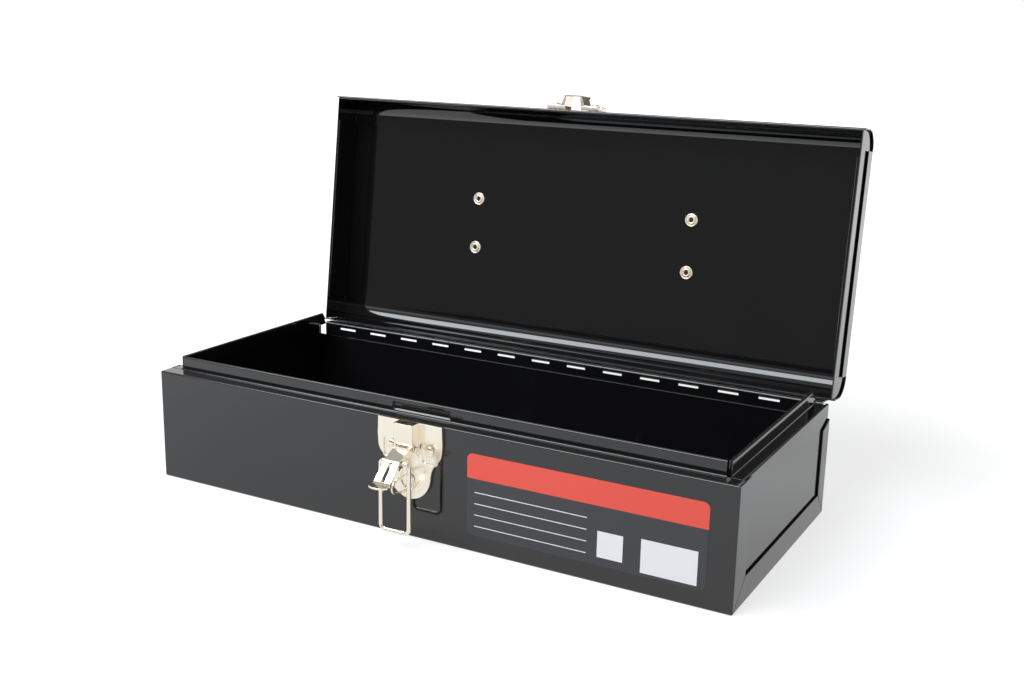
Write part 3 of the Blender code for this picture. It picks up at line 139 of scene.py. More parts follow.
class ToolboxStage(bpy.types.PropertyGroup):
    overhead_power: FloatProperty(
        name="Overhead power", description="Power of the softbox above the box",
        default=14.2, min=0.0, unit="POWER",
    )
    front_power: FloatProperty(
        name="Front power", description="Power of the low, wide softbox in front of the box",
        default=7.0, min=0.0, unit="POWER",
    )
    side_power: FloatProperty(
        name="Side power", description="Power of the softbox to the right",
        default=5.0, min=0.0, unit="POWER",
    )
    surround: FloatProperty(
        name="Surround", description="Brightness of the studio's walls as they light the box",
        default=0.3, min=0.0,
    )
    low_card: FloatProperty(
        name="Low card", description="Brightness of the dim card that the open lid reflects",
        default=0.16, min=0.0,
    )
    rear_card: FloatProperty(
        name="Rear card", description="Brightness of the dark corner behind, on the right",
        default=0.1, min=0.0,
    )
    ceiling_card: FloatProperty(
        name="Ceiling card", description="Brightness of the ceiling in reflections",
        default=0.42, min=0.0,
    )


# Shaping helpers


def lid_open():
    """The turn that opens the lid, from the closed place to the place at rest."""
    axis = Vector(JOINTS["lid_hinge"]["pos_m"])
    turn = Matrix.Rotation(-OPEN_ANGLE, 4, "X")
    return Matrix.Translation(axis) @ turn @ Matrix.Translation(-axis)


def at_joint(name):
    """The move from the origin to a joint's anchor."""
    return Matrix.Translation(JOINTS[name]["pos_m"])


def settle(name, bm, node, materials, smooth_angle=40):
    """Make a piece that stands for a CAD node and rides on its body."""
    mesh = bpy.data.meshes.new(name)
    bm.to_mesh(mesh)
    bm.free()
    for material in materials:
        mesh.materials.append(material)
    for face in mesh.polygons:
        face.use_smooth = True
    mesh.set_sharp_from_angle(angle=math.radians(smooth_angle))
    piece = bpy.data.objects.new(name, mesh)
    bpy.context.scene.collection.objects.link(piece)
    flats = piece.modifiers.new("flats", "WEIGHTED_NORMAL")
    flats.keep_sharp = True
    flats.weight = 90  # the large flat faces set the shading of the small rounds beside them
    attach(piece, BODY_OF[node])
    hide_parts(node)
    return piece


def merged(node):
    """A copy of a CAD node's mesh with its triangles joined up and flats made whole."""
    bm = bmesh.new()
    bm.from_mesh(NODES[node].data)
    bmesh.ops.remove_doubles(bm, verts=bm.verts, dist=WELD)
    bmesh.ops.dissolve_limit(
        bm, angle_limit=math.radians(0.6), verts=bm.verts, edges=bm.edges,
    )
    return bm


def rounded(bm, width, angle=38, segments=2):
    """Round every edge sharper than the angle."""
    if width > 0:
        sharp = [
            e for e in bm.edges
            if len(e.link_faces) == 2 and e.calc_face_angle() > math.radians(angle)
            and e.calc_length() > 2 * width
        ]
        bmesh.ops.bevel(
            bm, geom=sharp, offset=width, offset_type="OFFSET", segments=segments,
            profile=0.5, affect="EDGES", clamp_overlap=False, material=-1,
        )
    return bm


def turned(profile, place, steps=40, bore=0.0):
    """Turn a profile of (radius, height) points, topmost first, round the local Z axis.

    Faces within the bore's radius, below the top, take the second material.
    """
    bm = bmesh.new()
    verts = [bm.verts.new((radius, 0, height)) for radius, height in profile]
    edges = [bm.edges.new(pair) for pair in zip(verts, verts[1:])]
    if profile[0][0] > 0:
        edges.append(bm.edges.new((verts[-1], verts[0])))
    bmesh.ops.spin(
        bm, geom=verts + edges, cent=(0, 0, 0), axis=(0, 0, 1), angle=2 * math.pi,
        steps=steps, use_merge=True,
    )
    bmesh.ops.remove_doubles(bm, verts=bm.verts, dist=WELD)
    bmesh.ops.recalc_face_normals(bm, faces=bm.faces)
    for face in bm.faces:
        if all(vert.co.xy.length < bore and vert.co.z < 0 for vert in face.verts):
            face.material_index = 1
    bmesh.ops.transform(bm, matrix=place, verts=bm.verts)
    return bm


def arc(out, up, radius_out, radius_up, start, stop, count):
    """Points of an ellipse's arc about a centre, from one angle in degrees to another."""
    turns = [math.radians(start + (stop - start) * i / count) for i in range(count + 1)]
    return [(out + radius_out * math.cos(t), up + radius_up * math.sin(t)) for t in turns]


def bent_wire(points, bends, radius, place, sides=24, bend_steps=12):
    """Draw a round wire along its corner points, with a bend at each inner one."""
    points = [Vector(point) for point in points]
    here = points[0]
    ahead = (points[1] - here).normalized()
    bm = bmesh.new()
    start = Matrix.Translation(here) @ ahead.to_track_quat("Z", "Y").to_matrix().to_4x4()
    bmesh.ops.create_circle(bm, cap_ends=True, segments=sides, radius=radius, matrix=start)
    rim = bm.edges[:]

    def pulled(edges, step):
        made = bmesh.ops.extrude_edge_only(bm, edges=edges)["geom"]
        verts = [g for g in made if isinstance(g, bmesh.types.BMVert)]
        bmesh.ops.translate(bm, vec=step, verts=verts)
        inside = set(verts)
        return [
            g for g in made
            if isinstance(g, bmesh.types.BMEdge) and inside.issuperset(g.verts)
        ]

    for corner, onward, bend in zip(points[1:-1], points[2:], bends):
        after = (onward - corner).normalized()
        turn = ahead.angle(after)
        reach = bend * math.tan(turn / 2)
        stop = corner - ahead * reach
        rim = pulled(rim, stop - here)
        axis = ahead.cross(after).normalized()
        swung = bmesh.ops.spin(
            bm, geom=rim, cent=stop + axis.cross(ahead) * bend, axis=axis, angle=turn,
            steps=bend_steps,
        )
        rim = [g for g in swung["geom_last"] if isinstance(g, bmesh.types.BMEdge)]
        here = corner + after * reach
        ahead = after
    rim = pulled(rim, points[-1] - here)
    bmesh.ops.contextual_create(bm, geom=rim)
    bmesh.ops.recalc_face_normals(bm, faces=bm.faces)
    bmesh.ops.transform(bm, matrix=place, verts=bm.verts)
    return bm


def both_ends(half):
    """A profile in millimetres for one end, mirrored onto the other, in metres."""
    points = half + [(radius, -height) for radius, height in reversed(half)]
    return [(radius * MM, height * MM) for radius, height in points]


def solid_outline(points, place, thickness):
    """Fill an outline of (y, z) points and give it a thickness along X."""
    bm = bmesh.new()
    face = bm.faces.new([bm.verts.new((0, y, z)) for y, z in points])
    raised = bmesh.ops.extrude_face_region(bm, geom=[face])["geom"]
    bmesh.ops.translate(
        bm, vec=(thickness, 0, 0), verts=[g for g in raised if isinstance(g, bmesh.types.BMVert)],
    )
    bmesh.ops.recalc_face_normals(bm, faces=bm.faces)
    bmesh.ops.transform(bm, matrix=place, verts=bm.verts)
    return bm


def joined(bm, *others):
    """Move the faces of other meshes into the first."""
    for other in others:
        mesh = bpy.data.meshes.new("joining")
        other.to_mesh(mesh)
        other.free()
        bm.from_mesh(mesh)
        bpy.data.meshes.remove(mesh)
    return bm


def finer(node, material, width, smooth_angle=40, round_angle=38):
    """Stand a merged, edge-rounded copy in for a CAD node, with no rounding at a width of 0."""
    copy = rounded(merged(node), width, round_angle)
    return settle(node + "_fine", copy, node, [material], smooth_angle)


# Finishes


def put(tree, kind, x, y, **values):
    """Add a node, setting its options and its inputs by name."""
    node = tree.nodes.new("ShaderNode" + kind)
    node.location = (x, y)
    for key, value in values.items():
        if hasattr(node, key):
            setattr(node, key, value)
        else:
            node.inputs[key.replace("_", " ")].default_value = value
    return node


def new_material(name):
    """Return a material, its node tree and its shader."""
    material = bpy.data.materials.new(name)
    material.use_nodes = True
    tree = material.node_tree
    return material, tree, tree.nodes["Principled BSDF"]


def rgba(colour, share=1.0):
    """A colour with its parts scaled by a share and an alpha of one."""
    return (*(min(1.0, part * share) for part in colour), 1.0)


def noise(tree, x, y, scale, detail=2.0, stretch=(1.0, 1.0, 1.0)):
    """Noise over the object's own coordinates, at a scale in features a metre."""
    place = put(tree, "TexCoord", x - 400, y)
    mapping = put(tree, "Mapping", x - 200, y)
    mapping.inputs["Scale"].default_value = stretch
    tree.links.new(place.outputs["Object"], mapping.inputs["Vector"])
    texture = put(tree, "TexNoise", x, y, Scale=scale, Detail=detail)
    tree.links.new(mapping.outputs["Vector"], texture.inputs["Vector"])
    return texture.outputs["Fac"]


def spread(tree, x, y, source, low, high, out_low, out_high):
    """Map a share from one range to another."""
    node = put(
        tree, "MapRange", x, y, From_Min=low, From_Max=high, To_Min=out_low, To_Max=out_high,
    )
    tree.links.new(source, node.inputs["Value"])
    return node.outputs["Result"]


def enamel(name, wave=1.0):
    """Gloss enamel over pressed sheet: faint orange peel, slow waves and dull wisps."""
    colours = bpy.context.scene.toolbox_finishes
    material, tree, shader = new_material(name)
    tone = put(tree, "MixRGB", -250, 300)
    tone.inputs[1].default_value = rgba(colours.enamel)
    tone.inputs[2].default_value = rgba(colours.enamel, 1.7)
    tree.links.new(noise(tree, -500, 300, scale=22.0, detail=3.0), tone.inputs[0])
    tree.links.new(tone.outputs[0], shader.inputs["Base Color"])
    wisps = noise(tree, -500, 0, scale=60.0, detail=5.0, stretch=(0.5, 1.0, 1.6))
    tree.links.new(
        spread(tree, -250, 0, wisps, low=0.35, high=0.75, out_low=0.05, out_high=0.10),
        shader.inputs["Roughness"],
    )
    shader.inputs["IOR"].default_value = 1.52
    shader.inputs["Coat Weight"].default_value = 0.5
    shader.inputs["Coat IOR"].default_value = 1.5
    shader.inputs["Coat Roughness"].default_value = 0.035
    peel = put(tree, "Bump", -250, -300, Strength=0.05, Distance=0.02 * MM)
    tree.links.new(noise(tree, -500, -300, scale=420.0, detail=1.0), peel.inputs["Height"])
    waves = put(tree, "Bump", -50, -300, Strength=0.5 * wave, Distance=0.12 * MM)
    tree.links.new(noise(tree, -500, -600, scale=17.0, detail=1.0), waves.inputs["Height"])
    tree.links.new(peel.outputs["Normal"], waves.inputs["Normal"])
    tree.links.new(waves.outputs["Normal"], shader.inputs["Normal"])
    tree.links.new(waves.outputs["Normal"], shader.inputs["Coat Normal"])
    return material


def nickel(name, grain=(1.0, 1.0, 1.0), dull=0.0, dent=0.3, painted_shade=1.0):
    """Bright nickel over pressed steel, with barrel-polish dents and a rolled grain.

    The grain is fine along the axes whose share is large. Dull adds to the roughness, dent is
    the strength of the dents, and the painted-shade share darkens the plate's colour: painted
    shade, with the same plating beneath.
    """
    colours = bpy.context.scene.toolbox_finishes
    material, tree, shader = new_material(name)
    tone = put(tree, "MixRGB", -250, 300)
    tone.inputs[1].default_value = rgba(colours.nickel, 0.94 * painted_shade)
    tone.inputs[2].default_value = rgba(colours.nickel, 1.04 * painted_shade)
    tree.links.new(noise(tree, -500, 300, scale=140.0, detail=4.0), tone.inputs[0])
    tree.links.new(tone.outputs[0], shader.inputs["Base Color"])
    shader.inputs["Metallic"].default_value = 1.0
    lines = noise(tree, -500, 0, scale=420.0, detail=4.0, stretch=grain)
    tree.links.new(
        spread(tree, -250, 0, lines, low=0.3, high=0.75, out_low=0.13 + dull, out_high=0.27 + dull),
        shader.inputs["Roughness"],
    )
    dents = put(tree, "Bump", -50, -300, Strength=dent, Distance=0.05 * MM)
    tree.links.new(noise(tree, -500, -300, scale=330.0), dents.inputs["Height"])
    tree.links.new(dents.outputs["Normal"], shader.inputs["Normal"])
    return material


def bare_bore(name):
    """The unplated, browned inside of a tubular rivet."""
    colours = bpy.context.scene.toolbox_finishes
    material, tree, shader = new_material(name)
    tone = put(tree, "MixRGB", -250, 300)
    tone.inputs[1].default_value = rgba(colours.rivet_bore, 0.6)
    tone.inputs[2].default_value = rgba(colours.rivet_bore, 1.4)
    tree.links.new(noise(tree, -500, 300, scale=900.0, detail=3.0), tone.inputs[0])
    tree.links.new(tone.outputs[0], shader.inputs["Base Color"])
    shader.inputs["Metallic"].default_value = 0.8
    shader.inputs["Roughness"].default_value = 0.5
    return material


# Pieces


def lid_corner_web(way, side):
    """The gusset that closes the crescent between an end panel's corner and the skin's."""
    skin_y, skin_z, skin_radius = 64.18 * MM, 76.88 * MM, 11.1 * MM
    panel_y, panel_z, panel_radius = 58.58 * MM, 71.28 * MM, 15.3 * MM
    web_x, thickness, steps = 175.86 * MM, 0.5 * MM, 16
    outer = arc(skin_y, skin_z, skin_radius, skin_radius, 0, 90, steps)
    inner = arc(panel_y, panel_z, panel_radius, panel_radius, 90, 0, steps)
    points = [*outer, (inner[0][0], outer[-1][1]), *inner, (outer[0][0], inner[-1][1])]
    place = lid_open() @ Matrix.Translation((way * web_x, 0, 0))
    return solid_outline([(side * y, z) for y, z in points], place, -way * thickness)


def plate_rivet(node, place, grip):
    """A domed rivet with its tail set behind the sheet."""
    head, dome, shank, tail = 2.7 * MM, 1.2 * MM, 1.5 * MM, 2.1 * MM
    foot = -grip - dome / 2
    profile = arc(0, 0, head, dome, 90, 0, 10)
    profile += [(shank, 0), (shank, -grip), (tail, -grip), (shank, foot), (0, foot)]
    settle(node + "_fine", turned(profile, place), node, [nickel(node + "_nickel")])


class TOOLBOX_OT_body(bpy.types.Operator):
    """The folded body sheet and its two end panels in gloss enamel"""

    bl_idname = "toolbox.body"
    bl_label = "Body"

    def execute(self, context):
        for node in ("body_shell", "body_end_left", "body_end_right"):
            finer(node, enamel(node + "_enamel"), context.scene.toolbox_sizes.edge_round)
        return {"FINISHED"}


class TOOLBOX_OT_lid(bpy.types.Operator):
    """The lid's skin and its two end panels in gloss enamel"""

    bl_idname = "toolbox.lid"
    bl_label = "Lid"

    def execute(self, context):
        sizes = context.scene.toolbox_sizes
        finer("lid_shell", enamel("lid_shell_enamel"), sizes.edge_round, round_angle=70)
        for node, way in (("lid_end_left", -1), ("lid_end_right", 1)):
            panel = rounded(merged(node), sizes.edge_round)
            webs = [lid_corner_web(way, side) for side in (-1, 1)]
            settle(node + "_fine", joined(panel, *webs), node, [enamel(node + "_enamel")])
        return {"FINISHED"}


class TOOLBOX_OT_hinge(bpy.types.Operator):
    """The piano hinge's painted leaves and its plated pin"""

    bl_idname = "toolbox.hinge"
    bl_label = "Piano hinge"

    def execute(self, context):
        for node in ("hinge_leaf_body", "hinge_leaf_lid"):
            finer(node, enamel(node + "_enamel", wave=0.2), 0.0, smooth_angle=35)
        end, radius = 173.5, 0.7
        half = [(0, end), (radius - 0.3, end), (radius - 0.08, end - 0.2), (radius, end - 0.5)]
        pin = turned(both_ends(half), at_joint("lid_hinge") @ ALONG_X, steps=24)
        settle("hinge_pin_fine", pin, "hinge_pin", [nickel("pin_nickel", (0.1, 1.0, 1.0))])
        return {"FINISHED"}


class TOOLBOX_OT_latch(bpy.types.Operator):
    """The latch's base plate, rivets, lever, lever pin and bail in nickel plate"""

    bl_idname = "toolbox.latch"
    bl_label = "Latch"

    def execute(self, context):
        sizes = context.scene.toolbox_sizes
        plate = nickel("latch_nickel", (1.0, 1.0, 0.25))
        finer("latch_base", plate, sizes.plate_round)
        finish = nickel("lever_nickel", (0.25, 1.0, 1.0), dull=-0.07)
        finer("latch_lever", finish, sizes.plate_round)
        seat_y, grip = -77.9 * MM, 2.8 * MM
        for side, x, z in (("left", -12.0, 50.9), ("right", 12.0, 50.9), ("low", 0.0, 33.5)):
            seat = Matrix.Translation((LATCH_X + x * MM, seat_y, z * MM))
            plate_rivet("latch_rivet_" + side, seat @ FACE_FRONT, grip)
        half = [
            (0, 6.9), (0.7, 6.88), (1.2, 6.74), (1.48, 6.5), (1.6, 6.28), (1.6, 6.2), (0.9, 6.2),
        ]
        pin = turned(both_ends(half), at_joint("latch_lever") @ ALONG_X)
        settle("lever_pin_fine", pin, "lever_pin", [nickel("lever_pin_nickel")])
        end, half_width, length = 2.9 * MM, 8.75 * MM, 38.2 * MM
        eye, corner, wire = 2.2 * MM, 3.0 * MM, 1.15 * MM
        points = (
            (-end, 0, 0), (-half_width, 0, 0), (-half_width, 0, -length),
            (half_width, 0, -length), (half_width, 0, 0), (end, 0, 0),
        )
        bail = bent_wire(points, (eye, corner, corner, eye), wire, at_joint("latch_bail"))
        finish = nickel("bail_nickel", (1.0, 1.0, 0.15), dull=-0.03, dent=0.08)
        settle("latch_bail_fine", bail, "latch_bail", [finish])
        return {"FINISHED"}


class TOOLBOX_OT_keeper(bpy.types.Operator):
    """The lid's keeper and its rivets in nickel plate"""

    bl_idname = "toolbox.keeper"
    bl_label = "Keeper"

    def execute(self, context):
        sizes = context.scene.toolbox_sizes
        # Painted shade: the keeper's nickel colour is darkened to 0.85, though its plating is the same as the
        # latch's.
        finer("keeper", nickel("keeper_nickel", (0.25, 1.0, 1.0), painted_shade=0.85), sizes.plate_round)
        apart, seat_y, seat_z, grip = 13.4 * MM, -79.6 * MM, 72.4 * MM, 4.5 * MM
        for side, way in (("left", -1), ("right", 1)):
            seat = Matrix.Translation((LATCH_X + way * apart, seat_y, seat_z))
            plate_rivet("keeper_rivet_" + side, lid_open() @ seat @ FACE_FRONT, grip)
        return {"FINISHED"}


class TOOLBOX_OT_handle(bpy.types.Operator):
    """The folding handle, its saddles and its tubular rivets"""

    bl_idname = "toolbox.handle"
    bl_label = "Handle"

    def execute(self, context):
        sizes = context.scene.toolbox_sizes
        saddle_x, rivet_y, seat_z = 74.5 * MM, 16 * MM, 90.7 * MM
        for side, way in (("left", -1), ("right", 1)):
            node = "handle_saddle_" + side
            finer(node, nickel(node + "_nickel", (1.0, 1.0, 0.25)), sizes.plate_round)
            for end, along in (("front", -1), ("rear", 1)):
                seat = Matrix.Translation((way * saddle_x, along * rivet_y, seat_z))
                self.tubular_rivet("handle_rivet_" + side + "_" + end, lid_open() @ seat)
        end, half_span, drop = 83.95 * MM, 60.5 * MM, 37.0 * MM
        eye, corner, wire_radius = 5.6 * MM, 9.0 * MM, 2.79 * MM
        points = (
            (-end, 0, 0), (-half_span, 0, 0), (-half_span, drop, 0),
            (half_span, drop, 0), (half_span, 0, 0), (end, 0, 0),
        )
        hung = at_joint("handle_swing") @ Matrix.Rotation(-QUARTER, 4, "X")
        wire = bent_wire(points, (eye, corner, corner, eye), wire_radius, hung, sides=32)
        finish = nickel("handle_wire_nickel", (0.15, 1.0, 1.0), dent=0.1)
        settle("handle_wire_fine", wire, "handle_wire", [finish])
        half = [
            (3.1, 44.0), (4.4, 44.0), (4.85, 43.85), (5.1, 43.4), (5.18, 42.6), (5.1, 41.8),
            (4.85, 41.35), (4.62, 41.1), (4.6, 39.6), (4.8, 34.0), (5.08, 26.0), (5.18, 18.0),
        ]
        grip = turned(both_ends(half), hung @ Matrix.Translation((0, drop, 0)) @ ALONG_X, steps=48)
        finish = nickel("handle_grip_nickel", (0.15, 1.0, 1.0), dull=0.03)
        settle("handle_grip_fine", grip, "handle_grip", [finish])
        return {"FINISHED"}

    def tubular_rivet(self, node, place):
        """Domed outside; inside the lid a flat rim, a rolled collar and a bare bore."""
        head, dome, shank, grip, bore = 4.1, 1.4, 2.6, 2.9, 1.2
        rim, rim_round = head - 0.45, 0.45
        collar, collar_round = 2.05, 0.8
        low = -grip - 0.2
        profile = arc(0, 0, head, dome, 90, 0, 10)
        profile += [(shank, 0), (shank, -grip), (head, -grip)]
        profile += arc(rim, low, rim_round, 0.42, 0, -180, 8)
        profile += [(3.02, low + 0.1), (2.88, low)]
        profile += arc(collar, low - 0.1, collar_round, 0.68, 0, -180, 10)
        profile += [(bore, -grip / 2), (0, -grip / 2)]
        profile = [(radius * MM, height * MM) for radius, height in profile]
        finishes = [nickel(node + "_nickel", dull=0.2), bare_bore(node + "_bore")]
        rivet = turned(profile, place, bore=(bore + 0.1) * MM)
        settle(node + "_fine", rivet, node, finishes)


def label_vinyl():
    """Printed vinyl: a red band over a dark field with a blank panel and write-in lines."""
    sizes = bpy.context.scene.toolbox_sizes
    colours = bpy.context.scene.toolbox_finishes
    material, tree, shader = new_material("label_vinyl")
    place = put(tree, "TexCoord", -1400, 200)
    axes = put(tree, "SeparateXYZ", -1200, 200)
    tree.links.new(place.outputs["Object"], axes.inputs[0])

    def zone(low, high, y):
        """One inside a rectangle in X and Z, nought outside."""
        shares = []
        for axis, least, most in (("X", low[0], high[0]), ("Z", low[1], high[1])):
            middle = put(tree, "Math", -1000, y, operation="SUBTRACT")
            middle.inputs[1].default_value = (least + most) / 2
            tree.links.new(axes.outputs[axis], middle.inputs[0])
            apart = put(tree, "Math", -840, y, operation="ABSOLUTE")
            tree.links.new(middle.outputs[0], apart.inputs[0])
            inside = put(tree, "Math", -680, y, operation="LESS_THAN")
            inside.inputs[1].default_value = (most - least) / 2
            tree.links.new(apart.outputs[0], inside.inputs[0])
            shares.append(inside.outputs[0])
            y -= 160
        both = put(tree, "Math", -520, y, operation="MULTIPLY")
        for number, share in enumerate(shares):
            tree.links.new(share, both.inputs[number])
        return both.outputs[0]

    left, foot = sizes.label_low
    right, top = sizes.label_high
    panel_left, panel_right, panel_low, panel_high = 130.2 * MM, 159.4 * MM, 1.6 * MM, 19.2 * MM
    square_left, square_low, square_side = 106.9 * MM, 4.4 * MM, 13.8 * MM
    lines_left, lines_right, lines_low = left + 4.5 * MM, 101 * MM, foot + 5.0 * MM
    line_pitch, line_weight, line_count = 6.2 * MM, 0.45 * MM, 4
    zones = [
        ((left, sizes.band_foot), (right, top), colours.label_red),
        ((panel_left, foot + panel_low), (panel_right, foot + panel_high), colours.label_pale),
        (
            (square_left, foot + square_low),
            (square_left + square_side, foot + square_low + square_side), colours.label_pale,
        ),
    ]
    for line in range(line_count):
        z = lines_low + line * line_pitch
        zones.append(((lines_left, z), (lines_right, z + line_weight), colours.label_pale))
    colour = None
    for number, (low, high, ink) in enumerate(zones):
        mix = put(tree, "MixRGB", -300 + number * 60, 500 - number * 80)
        if colour is None:
            mix.inputs[1].default_value = rgba(colours.label_dark)
        else:
            tree.links.new(colour, mix.inputs[1])
        mix.inputs[2].default_value = rgba(ink)
        tree.links.new(zone(low, high, 600 - number * 400), mix.inputs[0])
        colour = mix.outputs[0]
    print_grain = put(tree, "MixRGB", 700, 500, blend_type="MULTIPLY")
    print_grain.inputs[0].default_value = 0.03
    tree.links.new(colour, print_grain.inputs[1])
    tree.links.new(noise(tree, 0, -900, scale=900.0), print_grain.inputs[2])
    tree.links.new(print_grain.outputs[0], shader.inputs["Base Color"])
    shader.inputs["IOR"].default_value = 1.46
    rough = noise(tree, 0, -1200, scale=240.0, detail=3.0)
    tree.links.new(
        spread(tree, 200, -1200, rough, low=0.3, high=0.7, out_low=0.3, out_high=0.34),
        shader.inputs["Roughness"],
    )
    return material


class TOOLBOX_OT_label(bpy.types.Operator):
    """A plain two-colour label on the front, with no words or marks"""

    bl_idname = "toolbox.label"
    bl_label = "Label"

    def execute(self, context):
        sizes = context.scene.toolbox_sizes
        left, foot = sizes.label_low
        right, top = sizes.label_high
        bm = bmesh.new()
        bmesh.ops.create_grid(bm, x_segments=1, y_segments=1, size=0.5)
        bmesh.ops.scale(bm, vec=(right - left, top - foot, 1), verts=bm.verts)
        bmesh.ops.bevel(
            bm, geom=bm.verts[:], offset=sizes.label_corner, offset_type="OFFSET", segments=8,
            profile=0.5, affect="VERTICES", clamp_overlap=True, material=-1,
        )
        bmesh.ops.rotate(bm, matrix=FACE_FRONT, verts=bm.verts)
        glue = 0.02 * MM
        middle = ((left + right) / 2, FRONT_WALL - glue, (foot + top) / 2)
        bmesh.ops.translate(bm, vec=middle, verts=bm.verts)
        bmesh.ops.recalc_face_normals(bm, faces=bm.faces)
        for face in bm.faces:
            if face.normal.y > 0:
                face.normal_flip()
        front = bmesh.ops.extrude_face_region(bm, geom=bm.faces[:])["geom"]
        bmesh.ops.translate(
            bm, vec=(0, -sizes.label_film, 0),
            verts=[g for g in front if isinstance(g, bmesh.types.BMVert)],
        )
        bmesh.ops.recalc_face_normals(bm, faces=bm.faces)
        mesh = bpy.data.meshes.new("label")
        bm.to_mesh(mesh)
        bm.free()
        mesh.materials.append(label_vinyl())
        label = bpy.data.objects.new("label", mesh)
        context.scene.collection.objects.link(label)
        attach(label, "body")
        return {"FINISHED"}


# The studio


def softbox(name, place, target, width, depth, power):
    """A rectangular lamp that the camera doesn't see, aimed at a point."""
    lamp = bpy.data.lights.new(name, "AREA")
    lamp.shape = "RECTANGLE"
    lamp.size = width
    lamp.size_y = depth
    lamp.energy = power
    lamp.color = (0.92, 0.96, 1.0)
    holder = bpy.data.objects.new(name, lamp)
    holder.location = place
    holder.rotation_euler = (Vector(target) - Vector(place)).to_track_quat("-Z", "Y").to_euler()
    holder.visible_camera = False
    bpy.context.scene.collection.objects.link(holder)
    return holder


def stage_plane(name, corners, material):
    """A plane of the studio, which is no part of the toolbox."""
    bm = bmesh.new()
    bm.faces.new([bm.verts.new(corner) for corner in corners])
    mesh = bpy.data.meshes.new(name)
    bm.to_mesh(mesh)
    bm.free()
    mesh.materials.append(material)
    plane = bpy.data.objects.new(name, mesh)
    bpy.context.scene.collection.objects.link(plane)
    return plane


def seen_directly(tree, x, y):
    """One for camera, mirror and clear rays, nought for the light on the object."""
    path = put(tree, "LightPath", x, y)
    total = path.outputs["Is Camera Ray"]
    for step, ray in enumerate(("Is Glossy Ray", "Is Transmission Ray"), start=1):
        either = put(tree, "Math", x + step * 200, y, operation="MAXIMUM")
        tree.links.new(total, either.inputs[0])
        tree.links.new(path.outputs[ray], either.inputs[1])
        total = either.outputs[0]
    return total


def studio_world(surround):
    """White to the camera and in reflections, softer as a light."""
    world = bpy.data.worlds.new("studio")
    world.use_nodes = True
    tree = world.node_tree
    background = tree.nodes["Background"]
    background.inputs["Color"].default_value = (1, 1, 1, 1)
    tree.links.new(
        spread(
            tree, -200, 0, seen_directly(tree, -800, 0), low=0.0, high=1.0, out_low=surround,
            out_high=1.0,
        ),
        background.inputs["Strength"],
    )
    bpy.context.scene.world = world


def floor_material():
    """A pale sweep that grows white away from the box and keeps its soft shadow.

    Its glow shows to the camera and in mirrors alone, so it puts no light on the box.
    """
    material, tree, shader = new_material("floor_white")
    shader.inputs["Base Color"].default_value = (0.46, 0.46, 0.46, 1)
    shader.inputs["Roughness"].default_value = 0.9
    shader.inputs["Specular IOR Level"].default_value = 0.0
    place = put(tree, "TexCoord", -1000, -300)
    away = put(tree, "VectorMath", -800, -300, operation="LENGTH")
    tree.links.new(place.outputs["Object"], away.inputs[0])
    glow = spread(
        tree, -600, -300, away.outputs["Value"], low=0.28, high=1.1, out_low=0.42, out_high=1.0,
    )
    mirrored = put(tree, "Math", -400, -300, operation="MULTIPLY")
    tree.links.new(glow, mirrored.inputs[0])
    tree.links.new(seen_directly(tree, -1000, -600), mirrored.inputs[1])
    straight = put(tree, "Math", -400, -500, operation="MULTIPLY")
    straight.inputs[1].default_value = 0.24  # lifts the floor that the camera sees to white
    path = put(tree, "LightPath", -600, -500)
    tree.links.new(path.outputs["Is Camera Ray"], straight.inputs[0])
    lit = put(tree, "Math", -200, -300, operation="ADD")
    tree.links.new(mirrored.outputs[0], lit.inputs[0])
    tree.links.new(straight.outputs[0], lit.inputs[1])
    shader.inputs["Emission Color"].default_value = (1, 1, 1, 1)
    tree.links.new(lit.outputs[0], shader.inputs["Emission Strength"])
    return material


def card(name, corners, glow):
    """A dim part of the studio that only reflections show."""
    material, _tree, shader = new_material(name)
    shader.inputs["Base Color"].default_value = (0.02, 0.02, 0.02, 1)
    shader.inputs["Roughness"].default_value = 1.0
    shader.inputs["Specular IOR Level"].default_value = 0.0
    shader.inputs["Emission Color"].default_value = (1, 1, 1, 1)
    shader.inputs["Emission Strength"].default_value = glow
    plane = stage_plane(name, corners, material)
    plane.visible_camera = False
    plane.visible_diffuse = False
    plane.visible_shadow = False


